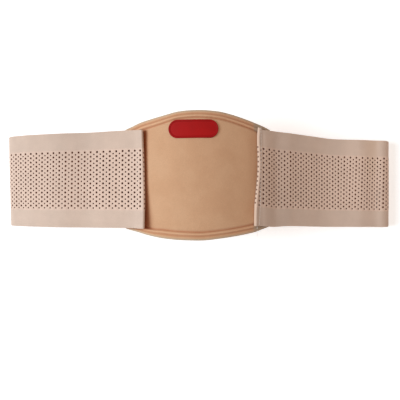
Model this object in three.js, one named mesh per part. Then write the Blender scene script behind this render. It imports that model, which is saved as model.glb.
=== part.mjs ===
// Hernia belt, closed in a loop and lying on its back: an elastic band runs round from the
// fastened end on the left, under the back, to the sewn end on the right, and both ends lie
// on a padded front panel that faces up.
//
// Millimetres. X runs along the belt, Y across it (towards the label), Z up.
// The origin is the middle of the belt's footprint, on the surface that it lies on.

import * as THREE from 'three';

// Elastic band
const BAND_WIDTH = 100;
const BAND_THICKNESS = 2.1;
const BAND_BEVEL = 0.5;
const HEM_ROUND = 2;
const HEM_STEP = 1.5;
const FREE_HEM_LENGTH = 9;
const FREE_HEM_LEAN = 1;
const SEWN_HEM_LEAN = -1.8;
const SEWN_HEM_PAST_PANEL = 2;
const FREE_END_EASE = 60;
const SEWN_END_EASE = 80;
const SEWN_LEAN_EASE = 16.5;

// Front panel, seen flat: its middle line is the belt's own
const PANEL_THICKNESS = 6;
const PANEL_ABOVE = 69.8;
const PANEL_BELOW = 61.3;
const PANEL_LEFT_LENGTH = 83;
const PANEL_RIGHT_LENGTH = 90;
const PANEL_CORNER = 4;
const PANEL_BEND_RADIUS = 132;
const PANEL_LEFT_BEND = 24;
const PANEL_RIGHT_BEND = 28;
const RIM_TOP_WIDTH = 7.2;
const RIM_BOTTOM_WIDTH = 9.2;
const RIM_DEPTH = 1.4;
const RIM_EDGE = 3.4;
const RIM_UNDERCUT = 0.5;
const FIELD_RISE = 2.4;

// The panel's hidden wing and the patch that grips it
const WING_LENGTH = 29;
const WING_WIDTH = 92;
const WING_THICKNESS = 3;
const WING_SHOULDER = 10;
const WING_CORNER = 9;
const PATCH_WIDTH = 86;
const PATCH_THICKNESS = 1.5;
const PATCH_END_MARGIN = 3;

// How far each end of the band lies from the panel's crest, along the panel
const FREE_END_FROM_CREST = 50.3;
const SEWN_END_FROM_CREST = 65.9;

// Label
const LABEL_LENGTH = 50.2;
const LABEL_WIDTH = 18.5;
const LABEL_THICKNESS = 1.2;
const LABEL_RIM = 1.3;
const LABEL_RECESS = 0.4;
const LABEL_UP = 50.7;
const LABEL_BESIDE_CREST = 0.6;
const LABEL_TURN = 0.6;

// The loop as it lies
const CREST_HEIGHT = 90;
const LEFT_REACH = 210.6;
const RIGHT_REACH = 227.9;

// Clearance between pieces
const GAP = 0.3;

// How finely curves are stepped: turns in degrees, lengths in millimetres
const CURVE_SAMPLES = 24;
const STEP_TURN = 4;
const SHORTEST_STEP = 0.5;
const PANEL_STEP = 7;
const LABEL_STEP = 4;
const LABEL_END_STEPS = 8;
const ROUND_SHARES = [0.04, 0.15, 0.35, 0.65, 1];
const SHOULDER_SHARES = [0, 0.25, 0.5, 0.75, 1];

// The band lies this far off the panel's face, which leaves room for the patch under it.
const LIFT = GAP + PATCH_THICKNESS + GAP;
const BAND_OUTER = LIFT + BAND_THICKNESS;

// A folded lip is pinched at its very end to this share of its thickness.
const LIP_PINCH = 0.2;

// The carrier line is the panel's outer face, carried on round the loop. Each row is a knot:
// run is a share of the way from the end of the panel's bend to the outermost point of the
// fold, rise a share of the height of the bend's end above the floor line, heading the
// direction of travel in degrees (180 is left along the top, 360 right along the floor) and
// drift a sideways shift as a share of the band's width.
const LEFT_RUN = [
  { name: 'wing end', run: 0.36, rise: 0.799, heading: 197, drift: 0.003 },
  { name: 'dip', run: 0.53, rise: 0.735, heading: 190, drift: 0.003 },
  { name: 'shoulder', run: 0.713, rise: 0.625, heading: 197, drift: 0.003 },
  { name: 'brow', run: 0.87, rise: 0.498, heading: 208, drift: 0.003 },
  { name: 'fold', run: 1, rise: 0.265, heading: 270, drift: 0.004 },
  { name: 'floor', run: 0.868, rise: 0, heading: 360, drift: 0.004 },
];
const RIGHT_RUN = [
  { name: 'floor', run: 0.94, rise: 0, heading: 360, drift: -0.02 },
  { name: 'fold', run: 1, rise: 0.055, heading: 450, drift: -0.021 },
  { name: 'fold top', run: 0.93, rise: 0.19, heading: 540, drift: -0.019 },
  { name: 'flat', run: 0.753, rise: 0.303, heading: 532.6, drift: -0.016 },
  { name: 'ramp', run: 0.433, rise: 0.49, heading: 515.3, drift: -0.005 },
  { name: 'brow', run: 0.25, rise: 0.692, heading: 510.7, drift: 0.001 },
  { name: 'dip', run: 0.112, rise: 0.841, heading: 501, drift: 0 },
  { name: 'panel end', run: 0.067, rise: 0.915, heading: 507, drift: 0 },
];

// The band's width near its ends: back is the distance from the end as a share of how far the
// end's shape reaches, and above and below are what is added to the half width on each side, as
// shares of the band's width.
const FREE_END_WIDTH = [
  { back: 0, above: 0.006, below: -0.003 },
  { back: 0.25, above: 0.011, below: -0.004 },
  { back: 0.5, above: 0.009, below: -0.004 },
  { back: 1, above: 0, below: 0 },
];
const SEWN_END_WIDTH = [
  { back: 0, above: 0.04, below: -0.024 },
  { back: 0.0625, above: 0.024, below: -0.024 },
  { back: 0.125, above: 0.019, below: -0.02 },
  { back: 0.275, above: 0.021, below: -0.009 },
  { back: 0.675, above: 0.009, below: -0.004 },
  { back: 1, above: 0, below: 0 },
];

// The panel's outline seen flat: left is the distance left of the crest as a share of the
// panel's length on that side, and reach the half height as a share of the one at the crest.
const TOP_OUTLINE = [
  { left: -1, reach: 0.764 },
  { left: -0.733, reach: 0.855 },
  { left: -0.5, reach: 0.93 },
  { left: -0.311, reach: 0.981 },
  { left: -0.15, reach: 0.999 },
  { left: 0, reach: 1 },
  { left: 0.2, reach: 0.981 },
  { left: 0.313, reach: 0.951 },
  { left: 0.5, reach: 0.9 },
  { left: 0.7, reach: 0.846 },
  { left: 0.88, reach: 0.762 },
  { left: 1, reach: 0.71 },
];
const BOTTOM_OUTLINE = [
  { left: -1, reach: 0.783 },
  { left: -0.822, reach: 0.848 },
  { left: -0.733, reach: 0.883 },
  { left: -0.533, reach: 0.93 },
  { left: -0.311, reach: 0.971 },
  { left: -0.12, reach: 0.999 },
  { left: 0, reach: 1 },
  { left: 0.2, reach: 0.992 },
  { left: 0.4, reach: 0.967 },
  { left: 0.59, reach: 0.923 },
  { left: 0.783, reach: 0.861 },
  { left: 0.88, reach: 0.829 },
  { left: 1, reach: 0.775 },
];

// The rim from the panel's field out to its edge: inset is a share of the rim's width from
// the edge, and depth a share of the rim's depth below the field.
const RIM_PROFILE = [
  { name: 'inner groove', inset: 0.94, depth: 0.78 },
  { name: 'ridge', inset: 0.72, depth: 0.2 },
  { name: 'outer groove', inset: 0.48, depth: 0.85 },
  { name: 'strip', inset: 0.28, depth: 0.5 },
  { name: 'shoulder', inset: 0.07, depth: 1 },
];

const COLOURS = {
  band: 0xd9c3b2,
  panel: 0xc69a74,
  patch: 0xd8cdbf,
  label: 0xa01d20,
};

const radians = THREE.MathUtils.degToRad;
const mix = THREE.MathUtils.lerp;

// Bezier from one knot to the next, with handles that make a plain turn a circular arc
function segmentBetween(from, to) {
  const chord = Math.hypot(to.x - from.x, to.z - from.z);
  const turn = Math.abs(radians(to.heading - from.heading));
  const handle = turn < 0.01 ? chord / 3 : (chord * 2 * Math.tan(turn / 4)) / (3 * Math.sin(turn / 2));
  const along = (knot, distance) => new THREE.Vector2(
    knot.x + distance * Math.cos(radians(knot.heading)),
    knot.z + distance * Math.sin(radians(knot.heading)),
  );
  return new THREE.CubicBezierCurve(along(from, 0), along(from, handle), along(to, -handle), along(to, 0));
}

function bendEnd(side, bend) {
  return {
    x: side * PANEL_BEND_RADIUS * Math.sin(radians(bend)),
    z: CREST_HEIGHT - PANEL_BEND_RADIUS * (1 - Math.cos(radians(bend))),
    heading: side < 0 ? 180 + bend : 540 - bend,
    drift: 0,
  };
}

function runKnots(rows, side, start, reach) {
  const outermost = reach - BAND_OUTER;
  return rows.map((row) => ({
    x: side * mix(Math.abs(start.x), outermost, row.run),
    z: mix(BAND_OUTER, start.z, row.rise),
    heading: row.heading,
    drift: row.drift * BAND_WIDTH,
  }));
}

// The closed carrier line, sampled finely, from the crest leftwards and round to the crest
function makeCarrier() {
  const left = bendEnd(-1, PANEL_LEFT_BEND);
  const right = bendEnd(1, PANEL_RIGHT_BEND);
  const knots = [
    { x: 0, z: CREST_HEIGHT, heading: 180, drift: 0 },
    left,
    ...runKnots(LEFT_RUN, -1, left, LEFT_REACH),
    ...runKnots(RIGHT_RUN, 1, right, RIGHT_REACH),
    right,
    { x: 0, z: CREST_HEIGHT, heading: 540, drift: 0 },
  ];
  const samples = [];
  let length = 0;
  knots.slice(1).forEach((to, index) => {
    const from = knots[index];
    const curve = segmentBetween(from, to);
    const straight = from.heading === to.heading;
    const count = straight ? 1 : CURVE_SAMPLES;
    for (let i = samples.length ? 1 : 0; i <= count; i += 1) {
      const point = curve.getPoint(i / count);
      const tangent = curve.getTangent(i / count);
      const last = samples[samples.length - 1];
      if (last) length += Math.hypot(point.x - last.x, point.y - last.z);
      const drift = mix(from.drift, to.drift, i / count);
      samples.push({ s: length, x: point.x, z: point.y, tx: tangent.x, tz: tangent.y, drift });
    }
  });
  return { samples, length };
}

const CARRIER = makeCarrier();

// The frame on the carrier line at distance s from the crest, negative on its right: the
// point, the outward normal and the sideways drift
function frameAt(distance) {
  const { samples, length } = CARRIER;
  const s = distance < 0 ? distance + length : distance;
  let i = 1;
  while (i < samples.length - 1 && samples[i].s < s) i += 1;
  const a = samples[i - 1];
  const b = samples[i];
  const t = THREE.MathUtils.clamp((s - a.s) / (b.s - a.s), 0, 1);
  const tangent = new THREE.Vector2(mix(a.tx, b.tx, t), mix(a.tz, b.tz, t)).normalize();
  return {
    x: mix(a.x, b.x, t),
    z: mix(a.z, b.z, t),
    drift: mix(a.drift, b.drift, t),
    out: new THREE.Vector2(tangent.y, -tangent.x),
  };
}

// A point at distance s along the belt, y across it and h out from the carrier line
function onBelt(s, y, h) {
  const frame = frameAt(s);
  return new THREE.Vector3(frame.x + h * frame.out.x, y + frame.drift, frame.z + h * frame.out.y);
}

// Distances along the belt from start to end: one wherever the line has turned by a step or
// run on by maxStep, and each of the extra ones
function stations(start, end, maxStep, extra = []) {
  const marks = [start, ...extra, end].filter((s) => s >= start && s <= end).sort((a, b) => a - b);
  const result = [start];
  const turnBetween = (a, b) => Math.abs(frameAt(a).out.angleTo(frameAt(b).out));
  marks.slice(1).forEach((mark, index) => {
    let at = marks[index];
    CARRIER.samples.filter((sample) => sample.s > at && sample.s < mark).forEach((sample) => {
      const turned = turnBetween(at, sample.s) > radians(STEP_TURN);
      const tooClose = mark - sample.s < SHORTEST_STEP;
      if (!tooClose && turned) {
        at = sample.s;
        result.push(at);
      }
    });
    if (mark > result[result.length - 1]) result.push(mark);
  });
  const filled = [result[0]];
  result.slice(1).forEach((s, index) => {
    const before = result[index];
    const parts = Math.max(1, Math.ceil((s - before) / maxStep));
    for (let part = 1; part <= parts; part += 1) filled.push(mix(before, s, part / parts));
  });
  return filled;
}

// Value of a column in a table of rows, between rows by distance
function fromTable(rows, key, at, column) {
  const after = rows.findIndex((row) => row[key] >= at);
  if (after < 0) return rows[rows.length - 1][column];
  if (after === 0) return rows[0][column];
  const a = rows[after - 1];
  const b = rows[after];
  return mix(a[column], b[column], (at - a[key]) / (b[key] - a[key]));
}

// The same, with a smooth curve through the rows
function fromCurve(rows, key, at, column) {
  const after = rows.findIndex((row) => row[key] >= at);
  if (after <= 0) return fromTable(rows, key, at, column);
  const slope = (i) => {
    const a = rows[Math.max(0, i - 1)];
    const b = rows[Math.min(rows.length - 1, i + 1)];
    return (b[column] - a[column]) / (b[key] - a[key]);
  };
  const a = rows[after - 1];
  const b = rows[after];
  const width = b[key] - a[key];
  const t = (at - a[key]) / width;
  const bend = (1 - t) * width * slope(after - 1) - t * width * slope(after);
  const chord = (1 - 2 * t) * (b[column] - a[column]);
  return mix(a[column], b[column], t) + t * (1 - t) * (bend - chord);
}

function signedVolume(points, faces) {
  return faces.reduce((sum, [a, b, c]) => {
    const cross = new THREE.Vector3().crossVectors(points[b], points[c]);
    return sum + points[a].dot(cross) / 6;
  }, 0);
}

// One closed mesh from points and triangles, turned so that its faces point out
function solid(name, colour, roughness, points, faces) {
  const outward = signedVolume(points, faces) > 0 ? faces : faces.map(([a, b, c]) => [a, c, b]);
  const geometry = new THREE.BufferGeometry().setFromPoints(points);
  geometry.setIndex(outward.flat());
  geometry.computeVertexNormals();
  const material = new THREE.MeshStandardMaterial({ color: colour, roughness, metalness: 0 });
  const mesh = new THREE.Mesh(geometry, material);
  mesh.name = name;
  return mesh;
}

function ringSides(rings) {
  const size = rings[0].length;
  const faces = [];
  for (let r = 0; r < rings.length - 1; r += 1) {
    for (let i = 0; i < size; i += 1) {
      const a = r * size + i;
      const b = r * size + ((i + 1) % size);
      faces.push([a, b, b + size], [a, b + size, a + size]);
    }
  }
  return faces;
}

// A solid lofted along the belt: section(s) gives a ring of {y, h} at each distance s
function loftAlong(name, colour, roughness, distances, section) {
  const sections = distances.map(section);
  const size = sections[0].length;
  const rings = sections.map((ring, i) => ring.map(({ y, h, shift = 0 }) => (
    onBelt(distances[i] + shift, y, h)
  )));
  const faces = ringSides(rings);
  const cap = (index, flip) => {
    const outline = sections[index].map(({ y, h }) => new THREE.Vector2(y, h));
    THREE.ShapeUtils.triangulateShape(outline, []).forEach(([a, b, c]) => {
      const offset = index * size;
      faces.push(flip ? [offset + a, offset + c, offset + b] : [offset + a, offset + b, offset + c]);
    });
  };
  const startTurnsLeft = THREE.ShapeUtils.area(sections[0].map(({ y, h }) => new THREE.Vector2(y, h))) > 0;
  cap(0, startTurnsLeft);
  cap(sections.length - 1, !startTurnsLeft);
  return solid(name, colour, roughness, rings.flat(), faces);
}

function bevelledSection(above, below, inner, outer, bevel) {
  return [
    { y: above - bevel, h: outer },
    { y: above, h: outer - bevel },
    { y: above, h: inner + bevel },
    { y: above - bevel, h: inner },
    { y: bevel - below, h: inner },
    { y: -below, h: inner + bevel },
    { y: -below, h: outer - bevel },
    { y: bevel - below, h: outer },
  ];
}

// The whole elastic band, hem to hem. At each hem it is folded under, which makes a rounded
// lip of two layers.
function elasticBand() {
  const start = FREE_END_FROM_CREST;
  const end = CARRIER.length - SEWN_END_FROM_CREST;
  const sewnHem = PANEL_RIGHT_LENGTH + SEWN_HEM_PAST_PANEL - SEWN_END_FROM_CREST;
  const rounding = ROUND_SHARES.map((share) => HEM_ROUND * share);
  const tableMarks = [
    ...FREE_END_WIDTH.map((row) => start + row.back * FREE_END_EASE),
    ...SEWN_END_WIDTH.map((row) => end - row.back * SEWN_END_EASE),
    end - SEWN_LEAN_EASE,
  ];
  const hemMarks = [
    start + FREE_HEM_LENGTH,
    start + FREE_HEM_LENGTH + HEM_STEP,
    end - sewnHem,
    end - sewnHem - HEM_STEP,
  ];
  const roundMarks = rounding.flatMap((back) => [start + back, end - back]);
  const marks = [...tableMarks, ...hemMarks, ...roundMarks];
  const distances = stations(start, end, Infinity, marks);

  return loftAlong('elastic_band', COLOURS.band, 0.9, distances, (s) => {
    const fromFree = s - start;
    const fromSewn = end - s;
    const nearFree = fromFree < fromSewn;
    const back = Math.min(fromFree, fromSewn);
    const widths = nearFree ? FREE_END_WIDTH : SEWN_END_WIDTH;
    const ease = nearFree ? FREE_END_EASE : SEWN_END_EASE;
    const leanEase = nearFree ? FREE_END_EASE : SEWN_LEAN_EASE;
    const hemLength = nearFree ? FREE_HEM_LENGTH : sewnHem;
    const lean = nearFree ? FREE_HEM_LEAN : SEWN_HEM_LEAN;

    const inRound = 1 - Math.min(1, back / HEM_ROUND);
    const pinch = 1 - Math.sqrt(1 - inRound * inRound);
    const folded = 1 - THREE.MathUtils.clamp((back - hemLength) / HEM_STEP, 0, 1);
    const inner = mix(LIFT, GAP, folded);
    const trim = (pinch * (1 - LIP_PINCH) * (BAND_OUTER - inner)) / 2;
    const above = BAND_WIDTH / 2 + BAND_WIDTH * fromTable(widths, 'back', back / ease, 'above');
    const below = BAND_WIDTH / 2 + BAND_WIDTH * fromTable(widths, 'back', back / ease, 'below');
    const corner = HEM_ROUND * pinch;
    const bevel = Math.min(BAND_BEVEL, (BAND_OUTER - inner - 2 * trim) / 3);

    const leaning = lean * (1 - Math.min(1, back / leanEase));
    const ring = bevelledSection(above - corner, below - corner, inner + trim, BAND_OUTER - trim, bevel);
    return ring.map((point) => ({ ...point, shift: (leaning * point.y) / (BAND_WIDTH / 2) }));
  });
}

// Half heights of the panel's outline at distance s from the crest, right of it negative
function panelOutline(s) {
  const left = s / (s < 0 ? PANEL_RIGHT_LENGTH : PANEL_LEFT_LENGTH);
  const top = PANEL_ABOVE * fromCurve(TOP_OUTLINE, 'left', left, 'reach');
  const bottom = PANEL_BELOW * fromCurve(BOTTOM_OUTLINE, 'left', left, 'reach');
  const toRightEnd = PANEL_RIGHT_LENGTH + s;
  const inCorner = THREE.MathUtils.clamp(1 - toRightEnd / PANEL_CORNER, 0, 1);
  const cut = PANEL_CORNER * (1 - Math.sqrt(1 - inCorner * inCorner));
  const pastPanel = THREE.MathUtils.clamp((s - PANEL_LEFT_LENGTH + WING_SHOULDER) / WING_SHOULDER, 0, 1);
  const wing = THREE.MathUtils.smoothstep(pastPanel, 0, 1);
  const toWingEnd = PANEL_LEFT_LENGTH + WING_LENGTH - s;
  const inWingCorner = THREE.MathUtils.clamp(1 - toWingEnd / WING_CORNER, 0, 1);
  const wingCut = WING_CORNER * (1 - Math.sqrt(1 - inWingCorner * inWingCorner));
  return {
    above: mix(top, WING_WIDTH / 2, wing) - cut - wingCut,
    below: mix(bottom, WING_WIDTH / 2, wing) - cut - wingCut,
    wing,
  };
}

function panelSection(s) {
  const { above, below, wing } = panelOutline(s);
  const thickness = mix(PANEL_THICKNESS, WING_THICKNESS, wing);
  const depth = RIM_DEPTH * (1 - wing);
  const edge = Math.min(RIM_EDGE, thickness - depth - GAP);
  const half = (reach, rimWidth) => {
    const profile = RIM_PROFILE.map((row) => ({
      y: reach - rimWidth * row.inset,
      h: -depth * row.depth,
    }));
    return [
      { y: reach - rimWidth - FIELD_RISE, h: 0 },
      ...profile,
      { y: reach, h: -depth - edge / 2 },
      { y: reach - RIM_UNDERCUT, h: -depth - edge },
      { y: reach - rimWidth - FIELD_RISE, h: -thickness },
    ];
  };
  const top = half(above, RIM_TOP_WIDTH);
  const bottom = half(below, RIM_BOTTOM_WIDTH).map(({ y, h }) => ({ y: -y, h }));
  return [...top, ...bottom.reverse()];
}

// The padded panel with its pressed rim, and the plain wing that goes on under the free end
function frontPanel() {
  const left = PANEL_LEFT_LENGTH + WING_LENGTH;
  const right = PANEL_RIGHT_LENGTH;
  const corner = ROUND_SHARES.map((share) => share * PANEL_CORNER);
  const wingCorner = ROUND_SHARES.map((share) => share * WING_CORNER);
  const shoulder = SHOULDER_SHARES.map((share) => PANEL_LEFT_LENGTH - share * WING_SHOULDER);
  const leftMarks = [...shoulder, ...wingCorner.map((back) => left - back)];
  const rightStart = CARRIER.length - right;
  const rightMarks = corner.map((back) => rightStart + back);
  const onTheRight = stations(rightStart, CARRIER.length, PANEL_STEP, rightMarks).slice(0, -1);
  const distances = [
    ...onTheRight.map((s) => s - CARRIER.length),
    ...stations(0, left, PANEL_STEP, leftMarks),
  ];
  return loftAlong('front_panel', COLOURS.panel, 0.85, distances, panelSection);
}

// The hook patch, between the band's free end and the panel with its wing
function hookPatch() {
  const start = FREE_END_FROM_CREST + FREE_HEM_LENGTH + HEM_STEP + Math.abs(FREE_HEM_LEAN) + GAP;
  const end = PANEL_LEFT_LENGTH + WING_LENGTH - PATCH_END_MARGIN;
  const half = PATCH_WIDTH / 2;
  const section = bevelledSection(half, half, GAP, GAP + PATCH_THICKNESS, PATCH_THICKNESS / 4);
  return loftAlong('hook_patch', COLOURS.patch, 0.95, stations(start, end, Infinity), () => section);
}

// Outline of the label drawn in by inset, starting beside its right tip, as {along, across}.
// Its second half mirrors its first, so that a cap can be laid across from one to the other.
function stadium(inset) {
  const radius = LABEL_WIDTH / 2 - inset;
  const straight = LABEL_LENGTH / 2 - LABEL_WIDTH / 2;
  const steps = Math.ceil((2 * straight) / LABEL_STEP);
  const half = [];
  for (let i = 0; i < LABEL_END_STEPS; i += 1) {
    const angle = ((i + 0.5) / LABEL_END_STEPS) * (Math.PI / 2);
    half.push({ along: straight + radius * Math.cos(angle), across: radius * Math.sin(angle) });
  }
  for (let i = 0; i <= steps; i += 1) {
    half.push({ along: straight - (2 * straight * i) / steps, across: radius });
  }
  for (let i = LABEL_END_STEPS - 1; i >= 0; i -= 1) {
    const angle = ((i + 0.5) / LABEL_END_STEPS) * (Math.PI / 2);
    half.push({ along: -straight - radius * Math.cos(angle), across: radius * Math.sin(angle) });
  }
  const mirrored = half.map(({ along, across }) => ({ along, across: -across })).reverse();
  return [...half, ...mirrored];
}

// The label, bent to the panel's face, with a raised rim round a slightly lower field
function label() {
  const top = GAP + LABEL_THICKNESS;
  const soft = LABEL_THICKNESS / 4;
  const layers = [
    { inset: 0, h: GAP },
    { inset: 0, h: top - soft },
    { inset: soft, h: top },
    { inset: LABEL_RIM, h: top },
    { inset: LABEL_RIM + LABEL_RECESS, h: top - LABEL_RECESS },
  ];
  const turn = radians(LABEL_TURN);
  const rings = layers.map(({ inset, h }) => stadium(inset).map(({ along, across }) => {
    const right = along * Math.cos(turn) - across * Math.sin(turn);
    const up = along * Math.sin(turn) + across * Math.cos(turn);
    return onBelt(LABEL_BESIDE_CREST - right, LABEL_UP + up, h);
  }));
  const faces = ringSides(rings);
  const size = rings[0].length;
  const zip = (offset, flip) => {
    for (let i = 0; i < size / 2 - 1; i += 1) {
      const quad = [i, i + 1, size - 2 - i, size - 1 - i].map((index) => index + offset);
      const [a, b, c, d] = flip ? quad.reverse() : quad;
      faces.push([a, b, c], [a, c, d]);
    }
  };
  zip(0, true);
  zip((rings.length - 1) * size, false);
  return solid('label', COLOURS.label, 0.45, rings.flat(), faces);
}

// Stand the belt on its footprint's middle
function centred(pieces) {
  const group = new THREE.Group();
  group.add(...pieces);
  const box = new THREE.Box3().setFromObject(group);
  group.position.set(-(box.min.x + box.max.x) / 2, -(box.min.y + box.max.y) / 2, -box.min.z);
  return group;
}

export default centred([elasticBand(), frontPanel(), hookPatch(), label()]);
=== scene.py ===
"""Looks of a hernia belt that lies on its back in a flattened loop, seen from above.

The elastic band, the padded front panel, the hook patch and the label each replace their
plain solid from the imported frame. Lengths in the tables are millimetres along, across and out
from the carrier line, which is the panel's outer face carried on round the loop.
"""

import math

import bpy
import numpy as np
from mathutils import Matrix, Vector


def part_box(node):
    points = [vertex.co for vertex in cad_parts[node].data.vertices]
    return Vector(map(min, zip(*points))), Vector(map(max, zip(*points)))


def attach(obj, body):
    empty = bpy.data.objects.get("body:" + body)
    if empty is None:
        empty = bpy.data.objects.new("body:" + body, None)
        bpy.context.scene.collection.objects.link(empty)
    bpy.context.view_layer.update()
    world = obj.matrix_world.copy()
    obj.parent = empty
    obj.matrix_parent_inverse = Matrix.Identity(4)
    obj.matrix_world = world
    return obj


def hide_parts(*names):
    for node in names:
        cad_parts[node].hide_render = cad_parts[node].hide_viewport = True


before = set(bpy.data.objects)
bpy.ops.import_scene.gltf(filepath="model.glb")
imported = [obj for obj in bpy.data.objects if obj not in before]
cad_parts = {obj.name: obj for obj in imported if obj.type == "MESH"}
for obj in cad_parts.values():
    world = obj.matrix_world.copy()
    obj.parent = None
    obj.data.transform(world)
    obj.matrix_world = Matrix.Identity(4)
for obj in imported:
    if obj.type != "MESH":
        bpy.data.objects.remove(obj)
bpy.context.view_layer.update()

bl_info = {
    "name": "Hernia belt",
    "version": (1, 0, 0),
    "blender": (4, 5, 0),
    "location": "3D View > Sidebar > Belt",
    "description": "Builds a perforated elastic hernia belt with a padded front panel",
    "category": "Object",
}

MM = 0.001

# Stage, in metres: the camera looks straight down at the belt, and both lights aim at its middle
CAMERA_PLACE = (-0.00265, -0.02475, 0.540)
CAMERA_LENS = 40.5
CAMERA_SENSOR = 36
FLOOR_REACH = 3.0
FLOOR_DROP = 0.0004
LIGHT_TARGET = (0.0, 0.0, 0.05)
KEY_PLACE = (-2.2, -0.1, 1.95)
KEY_SIZE = 1.3
KEY_TINT = (0.72, 0.89, 1.0)
FILL_PLACE = (0.1, 0.3, 1.6)
FILL_SIZE = 1.2
FILL_POWER = 4
FILL_TINT = (1.0, 0.93, 0.86)
SKY_TINT = (1, 0.84, 0.72, 1)
WHITE = (1, 1, 1, 1)
# Brightness of the plain background that the camera sees past the floor
BACKDROP = 0.9

# The carrier line: the panel's arc, then knots round the loop as in the part's source
CREST_HEIGHT = 90
LEFT_REACH = 210.6
RIGHT_REACH = 227.9
PANEL_BEND_RADIUS = 132
PANEL_LEFT_BEND = 24
PANEL_RIGHT_BEND = 28
CURVE_SAMPLES = 80
# How far out from it the band's outer face lies
BAND_OUTER = 4.2
BAND_WIDTH = 100

# Each row: run, rise, heading in degrees, drift as a share of the band's width
LEFT_RUN = [
    (0.36, 0.799, 197, 0.003),
    (0.53, 0.735, 190, 0.003),
    (0.713, 0.625, 197, 0.003),
    (0.87, 0.498, 208, 0.003),
    (1, 0.265, 270, 0.004),
    (0.868, 0, 360, 0.004),
]
RIGHT_RUN = [
    (0.94, 0, 360, -0.02),
    (1, 0.055, 450, -0.021),
    (0.93, 0.19, 540, -0.019),
    (0.753, 0.303, 532.6, -0.016),
    (0.433, 0.49, 515.3, -0.005),
    (0.25, 0.692, 510.7, 0.001),
    (0.112, 0.841, 501, 0),
    (0.067, 0.915, 507, 0),
]

# Ends of the band, measured along the carrier from the crest
FREE_END = 50.4
SEWN_END_FROM_CREST = 66.5
FREE_HEM = 8.7
SEWN_HEM = 25
FOLD_RADIUS = 1.0
FOLD_STEPS = 24
# How far the helper lines run on past both ends
LINE_SPARE = 12

# Columns of holes: how far the first large one is from the free fold, and the last small one from
# the sewn fold. The rows start at TOP_ROW above the band's middle line.
FIRST_COLUMN = 3.8
LAST_COLUMN = 3.8
HOLE_ROWS = 13
TOP_ROW = 29.2
# Mesh of the two ends: strips between half rows, steps round a fold, longest step under the band
LIP_ROWS = 4
LIP_STEPS = 11
UNDER_STEP = 3
# Width of a hole on the band's inner face, as a share of that on its outer face
HOLE_TAPER = 0.5
# How far the soft edge of a large hole reaches round it, and its height and that of the hole's
# mouth as shares of half the thickness
HOLE_SOFT_EDGE = 0.28
SOFT_EDGE_HEIGHT = 1.02
MOUTH_HEIGHT = 0.72
# How much the knit puffs between the holes, on each face
KNIT_PUFF = 0.12
# Holes that the folds cut through: where they lie round the free fold, as a share of it, and
# round the sewn fold, in degrees, then how long, narrow and deep their dents are
FREE_NOTCH = 0.54
SEWN_NOTCH = 84
NOTCH_REACH = 1.0
NOTCH_NARROWING = 1.5
NOTCH_DEPTH = 0.8
# How strongly the notches' dents take the painted hole shade
NOTCH_DARKENING = 1.6
# In metres: pitch of the knit's ribs along the band and of its courses across it, height of the
# laid band's slow ripple, and how near points of neighbouring columns have to be to be joined
RIB_PITCH = 0.00117
COURSE_PITCH = 0.0009
RIPPLE = 0.0006
WELD = 0.00003

# How columns lean: sideways shift for each millimetre up the band, at distances from each fold
LEAN_FREE = [(0, 0.03), (4, 0.002), (16, -0.012), (130, -0.014), (175, 0.0)]
LEAN_SEWN = [(0, -0.004), (100, -0.003), (125, -0.028), (170, -0.02), (230, 0.0)]
# What is added to each half width, from each end: distance, above, below
FLARE_FREE = [(0, 0.6, -0.3), (15, 1.1, -0.4), (30, 0.9, -0.4), (60, 0, -0.1), (85, 0, 0)]
FLARE_SEWN = [
    (0, 4.8, -2.4),
    (5, 2.4, -2.4),
    (10, 1.9, -2),
    (22, 2.1, -0.9),
    (38, 1.3, -1.2),
    (54, 0.8, -0.9),
    (80, -0.2, -0.3),
    (100, -1.1, -0.1),
    (132, -0.5, -0.4),
    (165, 0, 0),
]
# How far the rows of holes ride up towards the sewn fold, while the selvedges stay
ROW_SHIFT_SEWN = [(0, 2.5), (10, 2.1), (28, 0.9), (60, 0.4), (110, 0.2), (140, 0)]
# The sewn fold wanders sideways: where it starts at the bottom, then from and to which share of
# the half width it moves, and how far
WANDER_START = 3.0
WANDER = [(-0.8, 0.25, -4.1), (0.3, 0.75, 0.8), (0.8, 1, -0.8)]
# How that fades away from the fold
WANDER_SEWN = [(0, 1), (2.2, 0.95), (5.5, 0.15), (9, 0)]
# How far the free end lifts off the panel: distance, everywhere, at its upper and lower corner
LIFT_FREE = [(0, 0.9, 0.8, 3.2), (5, 0.5, 0.5, 1.9), (12, 0, 0.1, 0.4), (18, 0, 0, 0)]
# How far the left fold bulges at the top and draws in at the bottom, from the free end
BULGE_LEFT = [(100, 0), (150, 1.2), (190, 1.2), (208, 0)]
# The stitches of the sewn hem pinch it: distance from the fold, sink, share of thickness lost.
# The pinch ends at PINCH_END, and the layer turned under gets points at UNDER_POINTS.
PINCH_SEWN = [(1.9, 0.3, 0), (2.6, 0.62, 0.2), (3.6, 0.75, 0.3), (5.2, 0.45, 0.18), (9, 0, 0)]
PINCH_END = 9
UNDER_POINTS = (3.0, 4.2, 5.6, 9, SEWN_HEM)
# Painted shade and light: how much darker or paler the band is painted, from each end: distance, near
# the top, near the bottom
PAINTED_SHADING_FREE = [
    (0, 0.98, 0.98), (8, 1, 1), (35, 1.02, 1.03), (55, 1, 1.03), (66, 0.92, 1),
    (96, 0.93, 0.99), (125, 0.99, 1.01), (160, 1, 1),
]
PAINTED_SHADING_SEWN = [
    (0, 1.2, 1.2), (0.7, 1.2, 1.2), (1.4, 1, 1), (2.6, 0.88, 0.88), (3.4, 0.84, 0.84),
    (5, 0.86, 0.84), (8, 0.92, 0.88), (34, 0.91, 0.87), (50, 0.94, 0.93), (80, 0.97, 0.97),
    (110, 1, 1), (125, 1.05, 1.01), (150, 1.14, 1.03), (165, 1.05, 1), (180, 1, 1),
]

# Panel, seen flat
PANEL_THICKNESS = 6
PANEL_ABOVE = 69.8
PANEL_BELOW = 61.3
PANEL_LEFT_LENGTH = 83
PANEL_RIGHT_LENGTH = 90
PANEL_CORNER = 4
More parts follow.
